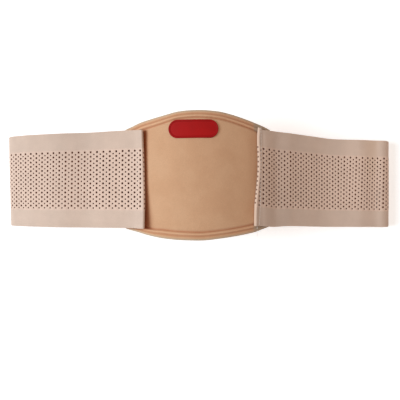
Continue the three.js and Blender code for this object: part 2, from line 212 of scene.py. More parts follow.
# Its outline: share of the length left of the crest, share of the half height at the crest
TOP_OUTLINE = [
    (-1, 0.764), (-0.733, 0.855), (-0.5, 0.93), (-0.311, 0.981), (-0.15, 0.999), (0, 1),
    (0.2, 0.981), (0.313, 0.951), (0.5, 0.9), (0.7, 0.846), (0.88, 0.762), (1, 0.71),
]
BOTTOM_OUTLINE = [
    (-1, 0.783), (-0.822, 0.848), (-0.733, 0.883), (-0.533, 0.93), (-0.311, 0.971),
    (-0.12, 0.999), (0, 1), (0.2, 0.992), (0.4, 0.967), (0.59, 0.923), (0.783, 0.861),
    (0.88, 0.829), (1, 0.775),
]
# Width of the rim at distances left of the crest, above and below
RIM_TOP = [(-85, 9), (-62, 8.3), (-30, 7.8), (0, 7.6), (20, 7.9), (46, 8.7), (80, 9.5)]
RIM_BOTTOM = [
    (-85, 8.2), (-57, 8.8), (-36, 8.5), (-5, 8.6), (14, 8.9), (29, 9), (50, 7.4), (80, 6.5),
]
# Depth of its grooves, height of its edge, and over what width the field rises from it
RIM_DEPTH = 1.4
RIM_EDGE = 3.4
FIELD_RISE = 2.4
# The wing goes on left from the panel, under the band's free end
WING_LENGTH = 29
WING_WIDTH = 92
WING_THICKNESS = 3
WING_SHOULDER = 10
WING_CORNER = 9
# Rim from the field out: share of the rim's width from the edge, share of its depth
RIM_PROFILE = [(0.96, 1.0), (0.74, 0.0), (0.5, 0.95), (0.3, 0.4), (0.07, 0.95), (0, 1.25)]
RIM_STEPS = 6
# Painted shade in each groove: it starts past a share of the rim's width and past a share of its
# depth, and grows at a rate. The ridge between them gets a painted highlight, paler by its own rate.
INNER_GROOVE = (0.8, 0.62, 2.6)
OUTER_GROOVE = (0.2, 0.5, 1.5)
RIDGE_BELOW = 0.5
RIDGE_RATE = 0.45
# The cut edge is greyer: how far in it reaches, over what distance it fades, and how much
CUT_EDGE = (2.2, 1.4, 0.85)
# The rim beside the sewn fold gets that grey as painted shade: from where, over what distance it comes
# in, and how much
PAINTED_SHADE_BESIDE_SEWN_FOLD = (-63, 3.5, 0.75)
# Slow waves of the rim's depth: share of it, radians for each millimetre along, lag
RIM_PUCKERS = [(0.05, 1.31, 1), (0.07, 0.37, 2)]
# Slow waves of the field: height, radians for each millimetre along and across, lag
FIELD_WAVES = [(0.09, 0.11, 0.05, 0), (0.06, 0.05, -0.09, 1)]
FIELD_SINK = 0.15
# Steps of a ring round the panel: over half the field, round the edge, under half the lining
FIELD_STEPS = 21
EDGE_STEPS = 6
LINING_STEPS = 13
EDGE_BULGE = 0.15
EDGE_UNDERCUT = 0.25
STATION_STEP = 1.05

# Painted shadow on the panel in front of the free end, deepening the one that the lifted end casts:
# its reach, how much more at the bottom, how fast it fades, and how far from the middle line it ends
PAINTED_SHADOW_REACH = 5.1
PAINTED_SHADOW_SPREAD = 8
PAINTED_SHADOW_POWER = 1.2
PAINTED_SHADOW_END = 52
PAINTED_SHADOW_FADE = 3
# Painted shade along the panel: how much darker it is painted towards the right, where it turns away
# from the light, at distances left of the crest
PAINTED_PANEL_SHADE = [
    (-74, 0.7), (-68, 0.76), (-63, 0.88), (-56, 0.92), (-35, 0.89), (-12, 0.93), (10, 0.96),
    (30, 1), (60, 1.02),
]

# Label, and where its middle lies: above the band's middle line and left of the crest
LABEL_LENGTH = 50.2
LABEL_WIDTH = 18.5
LABEL_UP = 50.7
LABEL_BESIDE_CREST = 0.6
LABEL_TURN = 0.6
LABEL_THICKNESS = 1.2
LABEL_END_STEPS = 16
LABEL_SIDE_STEPS = 32
# Gap between pieces that lie on each other
GAP = 0.3
# The label from its back up over the rim and into the field: inset, height above its seat, and
# how much of the rim's colour it has
LABEL_LAYERS = [
    (0.25, -0.25, 1), (0, 0, 1), (0, LABEL_THICKNESS - 0.45, 1), (0.08, LABEL_THICKNESS - 0.2, 1),
    (0.25, LABEL_THICKNESS - 0.05, 1), (0.5, LABEL_THICKNESS, 0.8),
    (0.85, LABEL_THICKNESS, 0.1), (1.2, LABEL_THICKNESS - 0.03, 0),
    (1.45, LABEL_THICKNESS - 0.16, 0.8), (1.65, LABEL_THICKNESS - 0.32, 1),
    (1.9, LABEL_THICKNESS - 0.4, 0.8), (2.6, LABEL_THICKNESS - 0.4, 0),
]

# Hook patch
PATCH_START = 62.1
PATCH_END = 109
PATCH_WIDTH = 86
PATCH_THICKNESS = 1.5
PATCH_STATIONS = 32
PATCH_TURN_STEPS = 6
PATCH_FACE_STEPS = 19

# Stitch rows: from where to where across the band, how far behind the fold, how much they slant
# for each millimetre up the band, and how much the flare stretches them
FREE_ROW_SPAN = (-48, 48)
FREE_ROW_BACK = 6.9
FREE_ROW_SLANT = 0.012
FREE_ROW_STRETCH = 1.01
SEWN_ROW_SPAN = (-45, 49)
SEWN_ROW_BACK = 3.6
SEWN_ROW_SLANT = 0.02
SEWN_ROW_STRETCH = 1.085
ROW_POINTS = 60
THREAD_HEIGHT = BAND_OUTER + 0.05
# The bar tack on the panel's rim below the sewn end
TACK_BACK = 2.2
TACK_SPAN = (-49.5, -57)
TACK_HEIGHT = -0.4
TACK_POINTS = 12


def ease(share):
    """Smooth step of a share from 0 to 1."""
    t = np.clip(share, 0, 1)
    return t * t * (3 - 2 * t)


def table(rows, at, column=1):
    """Value of a column in rows sorted by their first entry, eased between them."""
    keys = [row[0] for row in rows]
    values = [row[column] for row in rows]
    at = np.clip(np.asarray(at, dtype=float), keys[0], keys[-1])
    index = np.clip(np.searchsorted(keys, at, side="right") - 1, 0, len(rows) - 2)
    keys = np.array(keys, dtype=float)
    values = np.array(values, dtype=float)
    share = (at - keys[index]) / (keys[index + 1] - keys[index])
    return values[index] + (values[index + 1] - values[index]) * ease(share)


def curve(rows, at, column=1):
    """The same, with a smooth curve through the rows."""
    keys = np.array([row[0] for row in rows], dtype=float)
    values = np.array([row[column] for row in rows], dtype=float)
    at = np.clip(np.asarray(at, dtype=float), keys[0], keys[-1])
    i = np.clip(np.searchsorted(keys, at, side="right") - 1, 0, len(rows) - 2)
    low = np.maximum(np.arange(len(rows)) - 1, 0)
    high = np.minimum(np.arange(len(rows)) + 1, len(rows) - 1)
    slopes = (values[high] - values[low]) / (keys[high] - keys[low])
    width = keys[i + 1] - keys[i]
    rise = values[i + 1] - values[i]
    t = (at - keys[i]) / width
    bend = (1 - t) * width * slopes[i] - t * width * slopes[i + 1]
    return values[i] + rise * t + t * (1 - t) * (bend - (1 - 2 * t) * rise)


class Carrier:
    """The closed carrier line of the loop, from the crest leftwards and round to the crest."""

    def __init__(self):
        left = self.bend_end(-1, PANEL_LEFT_BEND)
        right = self.bend_end(1, PANEL_RIGHT_BEND)
        crest = (0, CREST_HEIGHT)
        knots = [(*crest, 180, 0), left]
        knots += self.run_knots(LEFT_RUN, -1, left, LEFT_REACH)
        knots += self.run_knots(RIGHT_RUN, 1, right, RIGHT_REACH)
        knots += [right, (*crest, 540, 0)]
        pieces = [self.segment(a, b) for a, b in zip(knots, knots[1:])]
        points = np.concatenate([piece[:-1] for piece in pieces] + [pieces[-1][-1:]])
        steps = np.hypot(*np.diff(points[:, :2], axis=0).T)
        self.s = np.concatenate([[0], np.cumsum(steps)])
        self.points = points
        self.length = self.s[-1]
        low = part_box("elastic_band")[0]
        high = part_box("front_panel")[1]
        self.shift_x = low[0] / MM + LEFT_REACH
        self.shift_y = high[1] / MM - PANEL_ABOVE

    def bend_end(self, side, bend):
        angle = math.radians(bend)
        x = side * PANEL_BEND_RADIUS * math.sin(angle)
        z = CREST_HEIGHT - PANEL_BEND_RADIUS * (1 - math.cos(angle))
        return (x, z, 180 + bend if side < 0 else 540 - bend, 0)

    def run_knots(self, rows, side, start, reach):
        outermost = reach - BAND_OUTER
        return [
            (
                side * (abs(start[0]) + (outermost - abs(start[0])) * run),
                BAND_OUTER + (start[1] - BAND_OUTER) * rise,
                heading,
                drift * BAND_WIDTH,
            )
            for run, rise, heading, drift in rows
        ]

    def segment(self, start, end):
        """Points, tangents and drift of one Bezier from knot to knot."""
        a = np.array(start[:2], dtype=float)
        d = np.array(end[:2], dtype=float)
        chord = np.hypot(*(d - a))
        turn = abs(math.radians(end[2] - start[2]))
        handle = chord / 3
        if turn > 0.01:
            handle = chord * 2 * math.tan(turn / 4) / (3 * math.sin(turn / 2))
        headings = [math.radians(knot[2]) for knot in (start, end)]
        b = a + handle * np.array([math.cos(headings[0]), math.sin(headings[0])])
        c = d - handle * np.array([math.cos(headings[1]), math.sin(headings[1])])
        t = np.linspace(0, 1, CURVE_SAMPLES)[:, None]
        u = 1 - t
        place = u**3 * a + 3 * u**2 * t * b + 3 * u * t**2 * c + t**3 * d
        tangent = 3 * u**2 * (b - a) + 6 * u * t * (c - b) + 3 * t**2 * (d - c)
        tangent /= np.hypot(tangent[:, 0], tangent[:, 1])[:, None]
        drift = start[3] + (end[3] - start[3]) * t
        return np.hstack([place, tangent, drift])

    def on_belt(self, s, y, h):
        """Points in the part's frame, in metres, at s along, y across and h out."""
        s, y, h = np.broadcast_arrays(*(np.asarray(v, dtype=float) for v in (s, y, h)))
        around = np.mod(s, self.length)
        x, z, tx, tz, drift = (np.interp(around, self.s, column) for column in self.points.T)
        size = np.hypot(tx, tz)
        out_x, out_z = tz / size, -tx / size
        place = [x + h * out_x + self.shift_x, y + drift + self.shift_y, z + h * out_z]
        return np.stack(place, axis=-1) * MM


CARRIER = Carrier()
SEWN_END = CARRIER.length - SEWN_END_FROM_CREST


def srgb(red, green, blue):
    """Linear colour of an sRGB one given in 0 to 255."""
    shares = [value / 255 for value in (red, green, blue)]
    return tuple(v / 12.92 if v <= 0.04045 else ((v + 0.055) / 1.055) ** 2.4 for v in shares)


def colour_property(name, description, default):
    return bpy.props.FloatVectorProperty(
        name=name, description=description, default=default, subtype="COLOR",
        size=3, min=0, max=1,
    )


def length_property(name, description, default):
    return bpy.props.FloatProperty(
        name=name, description=description, default=default * MM, subtype="DISTANCE",
        unit="LENGTH", min=0, precision=5,
    )


class BandSettings(bpy.types.PropertyGroup):
    width: length_property("Width", "Width of the elastic band", BAND_WIDTH)
    thickness: length_property("Thickness", "Thickness of one layer of the band", 1.9)
    large_hole: length_property("Large holes", "Diameter of the large perforations", 2.2)
    small_hole: length_property("Small holes", "Diameter of the small perforations", 1.7)
    row_pitch: length_property("Row pitch", "Distance between rows of holes", 4.68)
    column_pitch: length_property("Column pitch", "Distance between columns of large holes", 7.17)
    field: colour_property("Field", "Colour between the holes", srgb(232, 201, 183))
    margin: colour_property("Margin", "Colour of the plain margins", srgb(221, 194, 177))
    # Painted highlight on the sewn fold, where the light from the left strikes it
    lip: colour_property("Lip", "Colour of the stretched cloth on the sewn fold", srgb(231, 200, 178))
    # Painted shade inside the holes: their walls and the fold's notches get this dark colour
    hole: colour_property("Hole wall", "Colour inside the holes", srgb(98, 38, 14))


class PanelSettings(bpy.types.PropertyGroup):
    cloth: colour_property("Cloth", "Colour of the panel's velour", srgb(223, 176, 139))
    shade: colour_property("Shade", "Colour in the nap's darker patches", srgb(218, 169, 132))
    edge: colour_property("Edge", "Colour of the panel's cut edge", srgb(202, 180, 156))
    # Painted shadow of the free end on the panel, darkest at its foot
    crease: colour_property("Crease", "Tint of the cloth pressed by the free end", srgb(176, 126, 96))
    # Painted shade in the rim's grooves
    groove: colour_property("Groove", "Tint of the pressed grooves", srgb(227, 197, 188))
    lining: colour_property("Lining", "Colour of the panel's inner face", srgb(214, 180, 152))


class LabelSettings(bpy.types.PropertyGroup):
    field: colour_property("Field", "Colour of the label", srgb(173, 5, 7))
    rim: colour_property("Rim", "Colour of the label's raised rim", srgb(151, 0, 2))


class ThreadSettings(bpy.types.PropertyGroup):
    length: length_property("Stitch length", "Length of one stitch", 2.6)
    pitch: length_property("Stitch pitch", "Distance from one stitch to the next", 3.3)
    radius: length_property("Thread radius", "Half the thread's thickness", 0.26)
    hem: colour_property("Hem thread", "Colour of the hem stitches", srgb(222, 206, 194))
    tack: colour_property("Tack thread", "Colour of the bar tacks", srgb(236, 226, 216))


class StageSettings(bpy.types.PropertyGroup):
    floor: colour_property("Floor", "Colour of the floor", srgb(245, 245, 245))
    key: bpy.props.FloatProperty(
        name="Key light", description="Strength of the light from the left", default=60, min=0,
        subtype="POWER", unit="POWER",
    )
    sky: bpy.props.FloatProperty(
        name="Ambient light", description="Strength of the light from all round", default=0.37,
        min=0,
    )


class NodeGraph:
    """A node tree that is filled in with short calls."""

    def __init__(self, tree):
        self.tree = tree

    def add(self, kind, wires=None, **settings):
        made = self.tree.nodes.new(kind)
        for name, value in settings.items():
            setattr(made, name, value)
        for key, value in (wires or {}).items():
            if isinstance(value, bpy.types.NodeSocket):
                self.tree.links.new(value, made.inputs[key])
            else:
                made.inputs[key].default_value = value
        return made

    def math(self, operation, *values):
        wires = dict(enumerate(values))
        return self.add("ShaderNodeMath", wires, operation=operation).outputs[0]

    def vector(self, operation, *values):
        wires = dict(enumerate(values))
        return self.add("ShaderNodeVectorMath", wires, operation=operation).outputs[0]

    def ramp(self, value, low, high, to_low=0.0, to_high=1.0, smooth=True):
        wires = {"Value": value, "From Min": low, "From Max": high, "To Min": to_low,
                 "To Max": to_high}
        kind = "SMOOTHSTEP" if smooth else "LINEAR"
        return self.add("ShaderNodeMapRange", wires, interpolation_type=kind).outputs[0]

    def vector_scale(self, vector, amount):
        wires = {0: vector, "Scale": amount}
        return self.add("ShaderNodeVectorMath", wires, operation="SCALE").outputs[0]

    def split(self, vector):
        return self.add("ShaderNodeSeparateXYZ", {0: vector}).outputs

    def join(self, *values):
        return self.add("ShaderNodeCombineXYZ", dict(enumerate(values))).outputs[0]


class GeometryTree(NodeGraph):
    """A Geometry Nodes tree with named inputs."""

    def __init__(self, name):
        super().__init__(bpy.data.node_groups.new(name, "GeometryNodeTree"))
        self.sockets = {}
        self.named("Geometry", "NodeSocketGeometry")
        face = self.tree.interface
        face.new_socket("Geometry", in_out="OUTPUT", socket_type="NodeSocketGeometry")

    def named(self, name, kind, default=None):
        socket = self.tree.interface.new_socket(name, in_out="INPUT", socket_type=kind)
        if default is not None:
            socket.default_value = default
        self.sockets[name] = socket.identifier

    def start(self):
        self.inputs = self.add("NodeGroupInput").outputs
        return self.inputs

    def finish(self, geometry):
        real = self.add("GeometryNodeRealizeInstances", {0: geometry}).outputs[0]
        wires = {"Geometry": real, "Material": self.inputs["Material"]}
        done = self.add("GeometryNodeSetMaterial", wires).outputs[0]
        self.add("NodeGroupOutput", {0: done})

    def run(self, obj, values):
        """Put the tree on obj with its inputs, and leave the result as a plain mesh."""
        modifier = obj.modifiers.new(self.tree.name, "NODES")
        modifier.node_group = self.tree
        for name, value in values.items():
            modifier[self.sockets[name]] = value
        obj.update_tag()
        graph = bpy.context.evaluated_depsgraph_get()
        made = bpy.data.meshes.new_from_object(
            obj.evaluated_get(graph), preserve_all_data_layers=True, depsgraph=graph
        )
        obj.modifiers.clear()
        obj.data = made
        made.name = obj.name
        return obj


def new_mesh(name, points, faces=(), edges=(), floats=None, face_floats=None):
    """Object with a mesh of points in metres, and named numbers on its points and faces."""
    mesh = bpy.data.meshes.new(name)
    mesh.from_pydata([tuple(p) for p in points], list(edges), [tuple(f) for f in faces])
    for domain, layers in (("POINT", floats), ("FACE", face_floats)):
        for key, values in (layers or {}).items():
            layer = mesh.attributes.new(key, "FLOAT", domain)
            layer.data.foreach_set("value", np.asarray(values, dtype=np.float32))
    mesh.update()
    obj = bpy.data.objects.new(name, mesh)
    bpy.context.scene.collection.objects.link(obj)
    return obj


def smooth(obj, sharp=40):
    mesh = obj.data
    mesh.shade_smooth()
    mesh.set_sharp_from_angle(angle=math.radians(sharp))
    return obj


def polyline(name, points, floats=None):
    edges = [(i, i + 1) for i in range(len(points) - 1)]
    return new_mesh(name, points, edges=edges, floats=floats)


def ring_faces(rings, size, closed=False):
    faces = []
    for r in range(rings if closed else rings - 1):
        for i in range(size):
            a = r * size + i
            b = r * size + (i + 1) % size
            step = (r + 1) % rings * size - r * size
            faces.append((a, a + step, b + step, b))
    return faces


def put_on(obj, slot, *nodes):
    """The piece rides on the belt and stands for the nodes. Its slot is not used."""
    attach(obj, "root")
    if nodes:
        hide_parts(*nodes)
    return obj


def new_material(name):
    material = bpy.data.materials.new(name)
    material.use_nodes = True
    graph = NodeGraph(material.node_tree)
    shader = material.node_tree.nodes["Principled BSDF"]
    return material, graph, shader


def colour(value):
    return (*value, 1)


def blended(graph, share, low, high, kind="MIX"):
    wires = {0: share, 6: low, 7: high}
    return graph.add("ShaderNodeMix", wires, data_type="RGBA", blend_type=kind).outputs[2]


def noise(graph, place, scale, detail=3.0, roughness=0.5):
    wires = {"Vector": place, "Scale": scale, "Detail": detail, "Roughness": roughness}
    return graph.add("ShaderNodeTexNoise", wires).outputs[0]


def attribute(graph, name):
    return graph.add("ShaderNodeAttribute", attribute_name=name).outputs["Fac"]


def bumped(graph, shader, height, distance, strength=1.0):
    wires = {"Height": height, "Distance": distance, "Strength": strength}
    bump = graph.add("ShaderNodeBump", wires).outputs[0]
    graph.tree.links.new(bump, shader.inputs["Normal"])


def elastic_material(settings):
    """Knitted elastic: ribs along the band, finer courses across it, painted shade and light along it,
    a painted highlight on the sewn fold and painted shade inside the holes.
    """
    material, graph, shader = new_material("band elastic")
    uv = graph.add("ShaderNodeUVMap", uv_map="UVMap").outputs[0]
    along, across, _ = graph.split(uv)
    away = graph.math("ABSOLUTE", across)
    in_field = graph.ramp(away, 0.0305, 0.0325, 1.0, 0.0)
    base = blended(graph, in_field, colour(settings.margin), colour(settings.field))
    cloud = noise(graph, uv, 45.0, 4.0, 0.6)
    fleck = noise(graph, uv, 1400.0, 2.0)
    tone = graph.math("ADD", graph.ramp(cloud, 0.3, 0.7, -0.035, 0.035),
                      graph.ramp(fleck, 0.3, 0.7, -0.03, 0.03))
    grey = graph.math("ADD", tone, 1.0)
    base = blended(graph, 1.0, base, graph.join(grey, grey, grey), "MULTIPLY")
    # Painted shade and light along the band; where it is brightest, on the sewn fold, the painted
    # highlight colour comes in
    tone = attribute(graph, "tone")
    base = blended(graph, 1.0, base, graph.join(tone, tone, tone), "MULTIPLY")
    base = blended(graph, graph.ramp(tone, 1.05, 1.18), base, colour(settings.lip))
    # Painted shade in the holes' walls and in the notches' dents
    dark = graph.math("MAXIMUM", attribute(graph, "wall"), attribute(graph, "dent"))
    base = blended(graph, dark, base, colour(settings.hole))
    graph.tree.links.new(base, shader.inputs["Base Color"])
    ribs = graph.math("SINE", graph.math("MULTIPLY", across, 2 * math.pi / RIB_PITCH))
    courses = graph.math("SINE", graph.math("MULTIPLY", along, 2 * math.pi / COURSE_PITCH))
    weave = graph.math("ADD", graph.math("MULTIPLY", ribs, 0.6),
                       graph.math("MULTIPLY", courses, 0.4))
    weave = graph.math("ADD", weave, graph.math("MULTIPLY", fleck, 1.5))
    bumped(graph, shader, weave, 0.00007)
    rough = graph.ramp(fleck, 0.2, 0.8, 0.82, 0.97)
    graph.tree.links.new(rough, shader.inputs["Roughness"])
    shader.inputs["Sheen Weight"].default_value = 0.08
    shader.inputs["Sheen Roughness"].default_value = 0.5
    shader.inputs["Sheen Tint"].default_value = (1, 0.8, 0.65, 1)
    shader.inputs["Specular IOR Level"].default_value = 0.12
    shader.inputs["Specular Tint"].default_value = (1, 0.8, 0.65, 1)
    return material


def velour_material(settings):
    """Brushed velour: soft patches of nap, fine fibre, a greyer cut edge and a paler lining, with
    painted shade towards the right, in the grooves, beside the sewn fold and in front of the free end,
    and a painted highlight on the rim's ridge.
    """
    material, graph, shader = new_material("panel velour")
    place = graph.add("ShaderNodeTexCoord").outputs["Object"]
    cloud = noise(graph, place, 38.0, 4.0, 0.6)
    fibre = noise(graph, place, 1500.0, 3.0, 0.6)
    patches = graph.ramp(cloud, 0.35, 0.68)
    base = blended(graph, patches, colour(settings.cloth), colour(settings.shade))
    grey = graph.ramp(fibre, 0.25, 0.75, 0.93, 1.07)
    base = blended(graph, 1.0, base, graph.join(grey, grey, grey), "MULTIPLY")
    # Painted shade in the rim's grooves and painted highlight on its ridge
    groove = attribute(graph, "groove")
    ridge = graph.ramp(groove, -0.25, 0.0, 1.14, 1.0)
    base = blended(graph, 1.0, base, graph.join(ridge, ridge, ridge), "MULTIPLY")
    base = blended(graph, groove, base, colour(settings.groove), "MULTIPLY")
    # Grey of the cut edge, also painted as shade on the rim beside the sewn fold
    base = blended(graph, attribute(graph, "edge"), base, colour(settings.edge))
    # Painted shade, darker towards the right of the panel
    nap = attribute(graph, "nap")
    base = blended(graph, 1.0, base, graph.join(nap, nap, nap), "MULTIPLY")
    # Painted shadow in front of the free end
    base = blended(graph, attribute(graph, "crease"), base, colour(settings.crease), "MULTIPLY")
    base = blended(graph, attribute(graph, "lining"), base, colour(settings.lining))
    graph.tree.links.new(base, shader.inputs["Base Color"])
    pile = graph.math("ADD", fibre, graph.math("MULTIPLY", cloud, 2.0))
    bumped(graph, shader, pile, 0.00022)
    rough = graph.ramp(fibre, 0.2, 0.8, 0.85, 1.0)
    graph.tree.links.new(rough, shader.inputs["Roughness"])
    shader.inputs["Sheen Weight"].default_value = 0.2
    shader.inputs["Sheen Roughness"].default_value = 0.4
    shader.inputs["Specular IOR Level"].default_value = 0.15
    return material


def rubber_material(settings):
    """Moulded rubber with a fine grain and a satin gloss, darker on the outer side and the inner slope
    of its raised rim.
    """
    material, graph, shader = new_material("label rubber")
    place = graph.add("ShaderNodeTexCoord").outputs["Object"]
    grain = noise(graph, place, 2200.0, 2.0)
    cloud = noise(graph, place, 90.0, 3.0)
    base = blended(graph, attribute(graph, "rim"), colour(settings.field), colour(settings.rim))
    grey = graph.ramp(cloud, 0.3, 0.7, 0.94, 1.06)
    base = blended(graph, 1.0, base, graph.join(grey, grey, grey), "MULTIPLY")
    graph.tree.links.new(base, shader.inputs["Base Color"])
    bumped(graph, shader, grain, 0.00005)
    rough = graph.ramp(grain, 0.2, 0.8, 0.5, 0.68)
    graph.tree.links.new(rough, shader.inputs["Roughness"])
    shader.inputs["Specular IOR Level"].default_value = 0.2
    return material


def hook_material(thread):
    """Hook tape: off-white, with a fine grid of hooks."""
    material, graph, shader = new_material("hook tape")
    place = graph.add("ShaderNodeTexCoord").outputs["Object"]
    wires = {"Vector": place, "Scale": 900.0}
    hooks = graph.add("ShaderNodeTexVoronoi", wires).outputs["Distance"]
    base = blended(graph, graph.ramp(hooks, 0.1, 0.7), colour(thread.tack), colour(thread.hem))
    graph.tree.links.new(base, shader.inputs["Base Color"])
    bumped(graph, shader, hooks, 0.0003)
    shader.inputs["Roughness"].default_value = 0.8
    return material


def thread_material(name, value):
    """Twisted sewing thread."""
    material, graph, shader = new_material(name)
    place = graph.add("ShaderNodeTexCoord").outputs["Object"]
    twist = noise(graph, place, 3000.0, 2.0)
    grey = graph.ramp(twist, 0.3, 0.7, 0.9, 1.05)
    base = blended(graph, 1.0, colour(value), graph.join(grey, grey, grey), "MULTIPLY")
    graph.tree.links.new(base, shader.inputs["Base Color"])
    bumped(graph, shader, twist, 0.00005)
    shader.inputs["Roughness"].default_value = 0.7
    shader.inputs["Sheen Weight"].default_value = 0.1
    return material


class FlatCloth:
    """Points and faces of the band laid flat, with shared corners found by their place."""

    def __init__(self, settings):
        self.half = settings.width / MM / 2
        self.skin = settings.thickness / MM / 2
        self.row = settings.row_pitch / MM
        self.points = []
        self.dents = []
        self.faces = []
        self.walls = []
        self.known = {}

    def point(self, x, v, z):
        key = (round(x, 3), round(v, 3), round(z, 3))
        if key not in self.known:
            self.known[key] = len(self.points)
            self.points.append((x, v, z))
            self.dents.append(0.0)
        return self.known[key]

    def face(self, corners, side, wall=0.0):
        ring = list(dict.fromkeys(corners))
        if len(ring) > 2:
            self.faces.append(tuple(ring if side > 0 else reversed(ring)))
            self.walls.append(wall)

    def field_top(self):
        return TOP_ROW + self.row / 2

    def field_bottom(self):
        return TOP_ROW - (HOLE_ROWS - 0.5) * self.row - self.row / 2

    def skin_at(self, v):
        """Half thickness: the knit puffs a little between the holes."""
        inside = self.field_bottom() + 0.01 < v < self.field_top() - 0.01
        return self.skin + (KNIT_PUFF if inside else 0)

    def rows(self, parts=1):
        """Places across the field, from its top to its bottom."""
        count = 2 * HOLE_ROWS + 1
        top = self.field_top()
        return [top - self.row / 2 * i / parts for i in range(count * parts + 1)]

    def margin(self, side):
        """Cross-section of a margin from the field's border on the outer face, round the
        selvedge and back on the inner face: (v, z)."""
        start = self.field_top() if side > 0 else self.field_bottom()
        centre = side * (self.half - self.skin)
        flat = [start + (centre - start) * share for share in (0, 0.5, 1)]
        outer = [(v, self.skin) for v in flat]
        turned = []
        for step in (1, 2, 3):
            angle = math.pi / 2 - step * math.pi / 4
            turned.append((centre + side * self.skin * math.cos(angle), self.skin * math.sin(angle)))
        return outer + turned + [(v, -self.skin) for v in reversed(flat)]

    def circle(self, x, v, radius, z):
        turns = [math.radians(45 * i) for i in range(8)]
        return [self.point(x + radius * math.cos(t), v + radius * math.sin(t), z) for t in turns]

    def cell(self, x, v, half_column, radius, soft_edge):
        """One hole with the cloth round it, through both faces."""
        dv = self.row / 2
        ways = [(1, 0), (1, 1), (0, 1), (-1, 1), (-1, 0), (-1, -1), (0, -1), (1, -1)]
        walls = []
        for side in (1, -1):
            border = []
            for across, up in ways:
                place = v + up * dv
                z = side * self.skin_at(place)
                border.append(self.point(x + across * half_column, place, z))
            rings = [border]
            if soft_edge and side > 0:
                height = self.skin * SOFT_EDGE_HEIGHT
                rings.append(self.circle(x, v, radius + HOLE_SOFT_EDGE, height))
            height = side * self.skin * (MOUTH_HEIGHT if side > 0 else 1)
            mouth = radius if side > 0 else radius * HOLE_TAPER
            rings.append(self.circle(x, v, mouth, height))
            for outer, inner in zip(rings, rings[1:]):
                for i in range(8):
                    j = (i + 1) % 8
                    self.face((outer[i], outer[j], inner[j], inner[i]), side)
            walls.append(rings[-1])
        for i in range(8):
            j = (i + 1) % 8
            self.face((walls[0][i], walls[0][j], walls[1][j], walls[1][i]), 1, 1.0)

    def strip(self, x0, x1, section, side):
        """Faces between two places along the band, over a list of (v, z)."""
        for (v0, z0), (v1, z1) in zip(section, section[1:]):
            corners = [(x0, v0, z0), (x1, v0, z0), (x1, v1, z1), (x0, v1, z1)]
            self.face([self.point(*corner) for corner in corners], side)

    def build(self, name):
        points = np.array(self.points) * MM
        return new_mesh(name, points, self.faces, floats={"dent": self.dents},
                        face_floats={"wall": self.walls})


def column_pair(settings, pitch):
    """The cloth round one column of large holes and one of small holes, laid flat."""
    cloth = FlatCloth(settings)
    quarter = pitch / 4
    large = settings.large_hole / MM / 2
    small = settings.small_hole / MM / 2
    for i in range(HOLE_ROWS):
        v = TOP_ROW - i * cloth.row
        cloth.cell(0, v, quarter, large, True)
        cloth.cell(2 * quarter, v - cloth.row / 2, quarter, small, False)
    places = [-quarter, 0, quarter, 2 * quarter, 3 * quarter]
    rows = cloth.rows()
    for x0, x1 in zip(places, places[1:]):
        cloth.strip(x0, x1, cloth.margin(1), -1)
        cloth.strip(x0, x1, cloth.margin(-1), 1)
        in_large_column = x1 <= quarter + 0.01
        spare = rows[-2:] if in_large_column else rows[:2]
        for side in (1, -1):
            cloth.strip(x0, x1, [(v, side * cloth.skin_at(v)) for v in spare], -side)
    return cloth.build("column_pair")


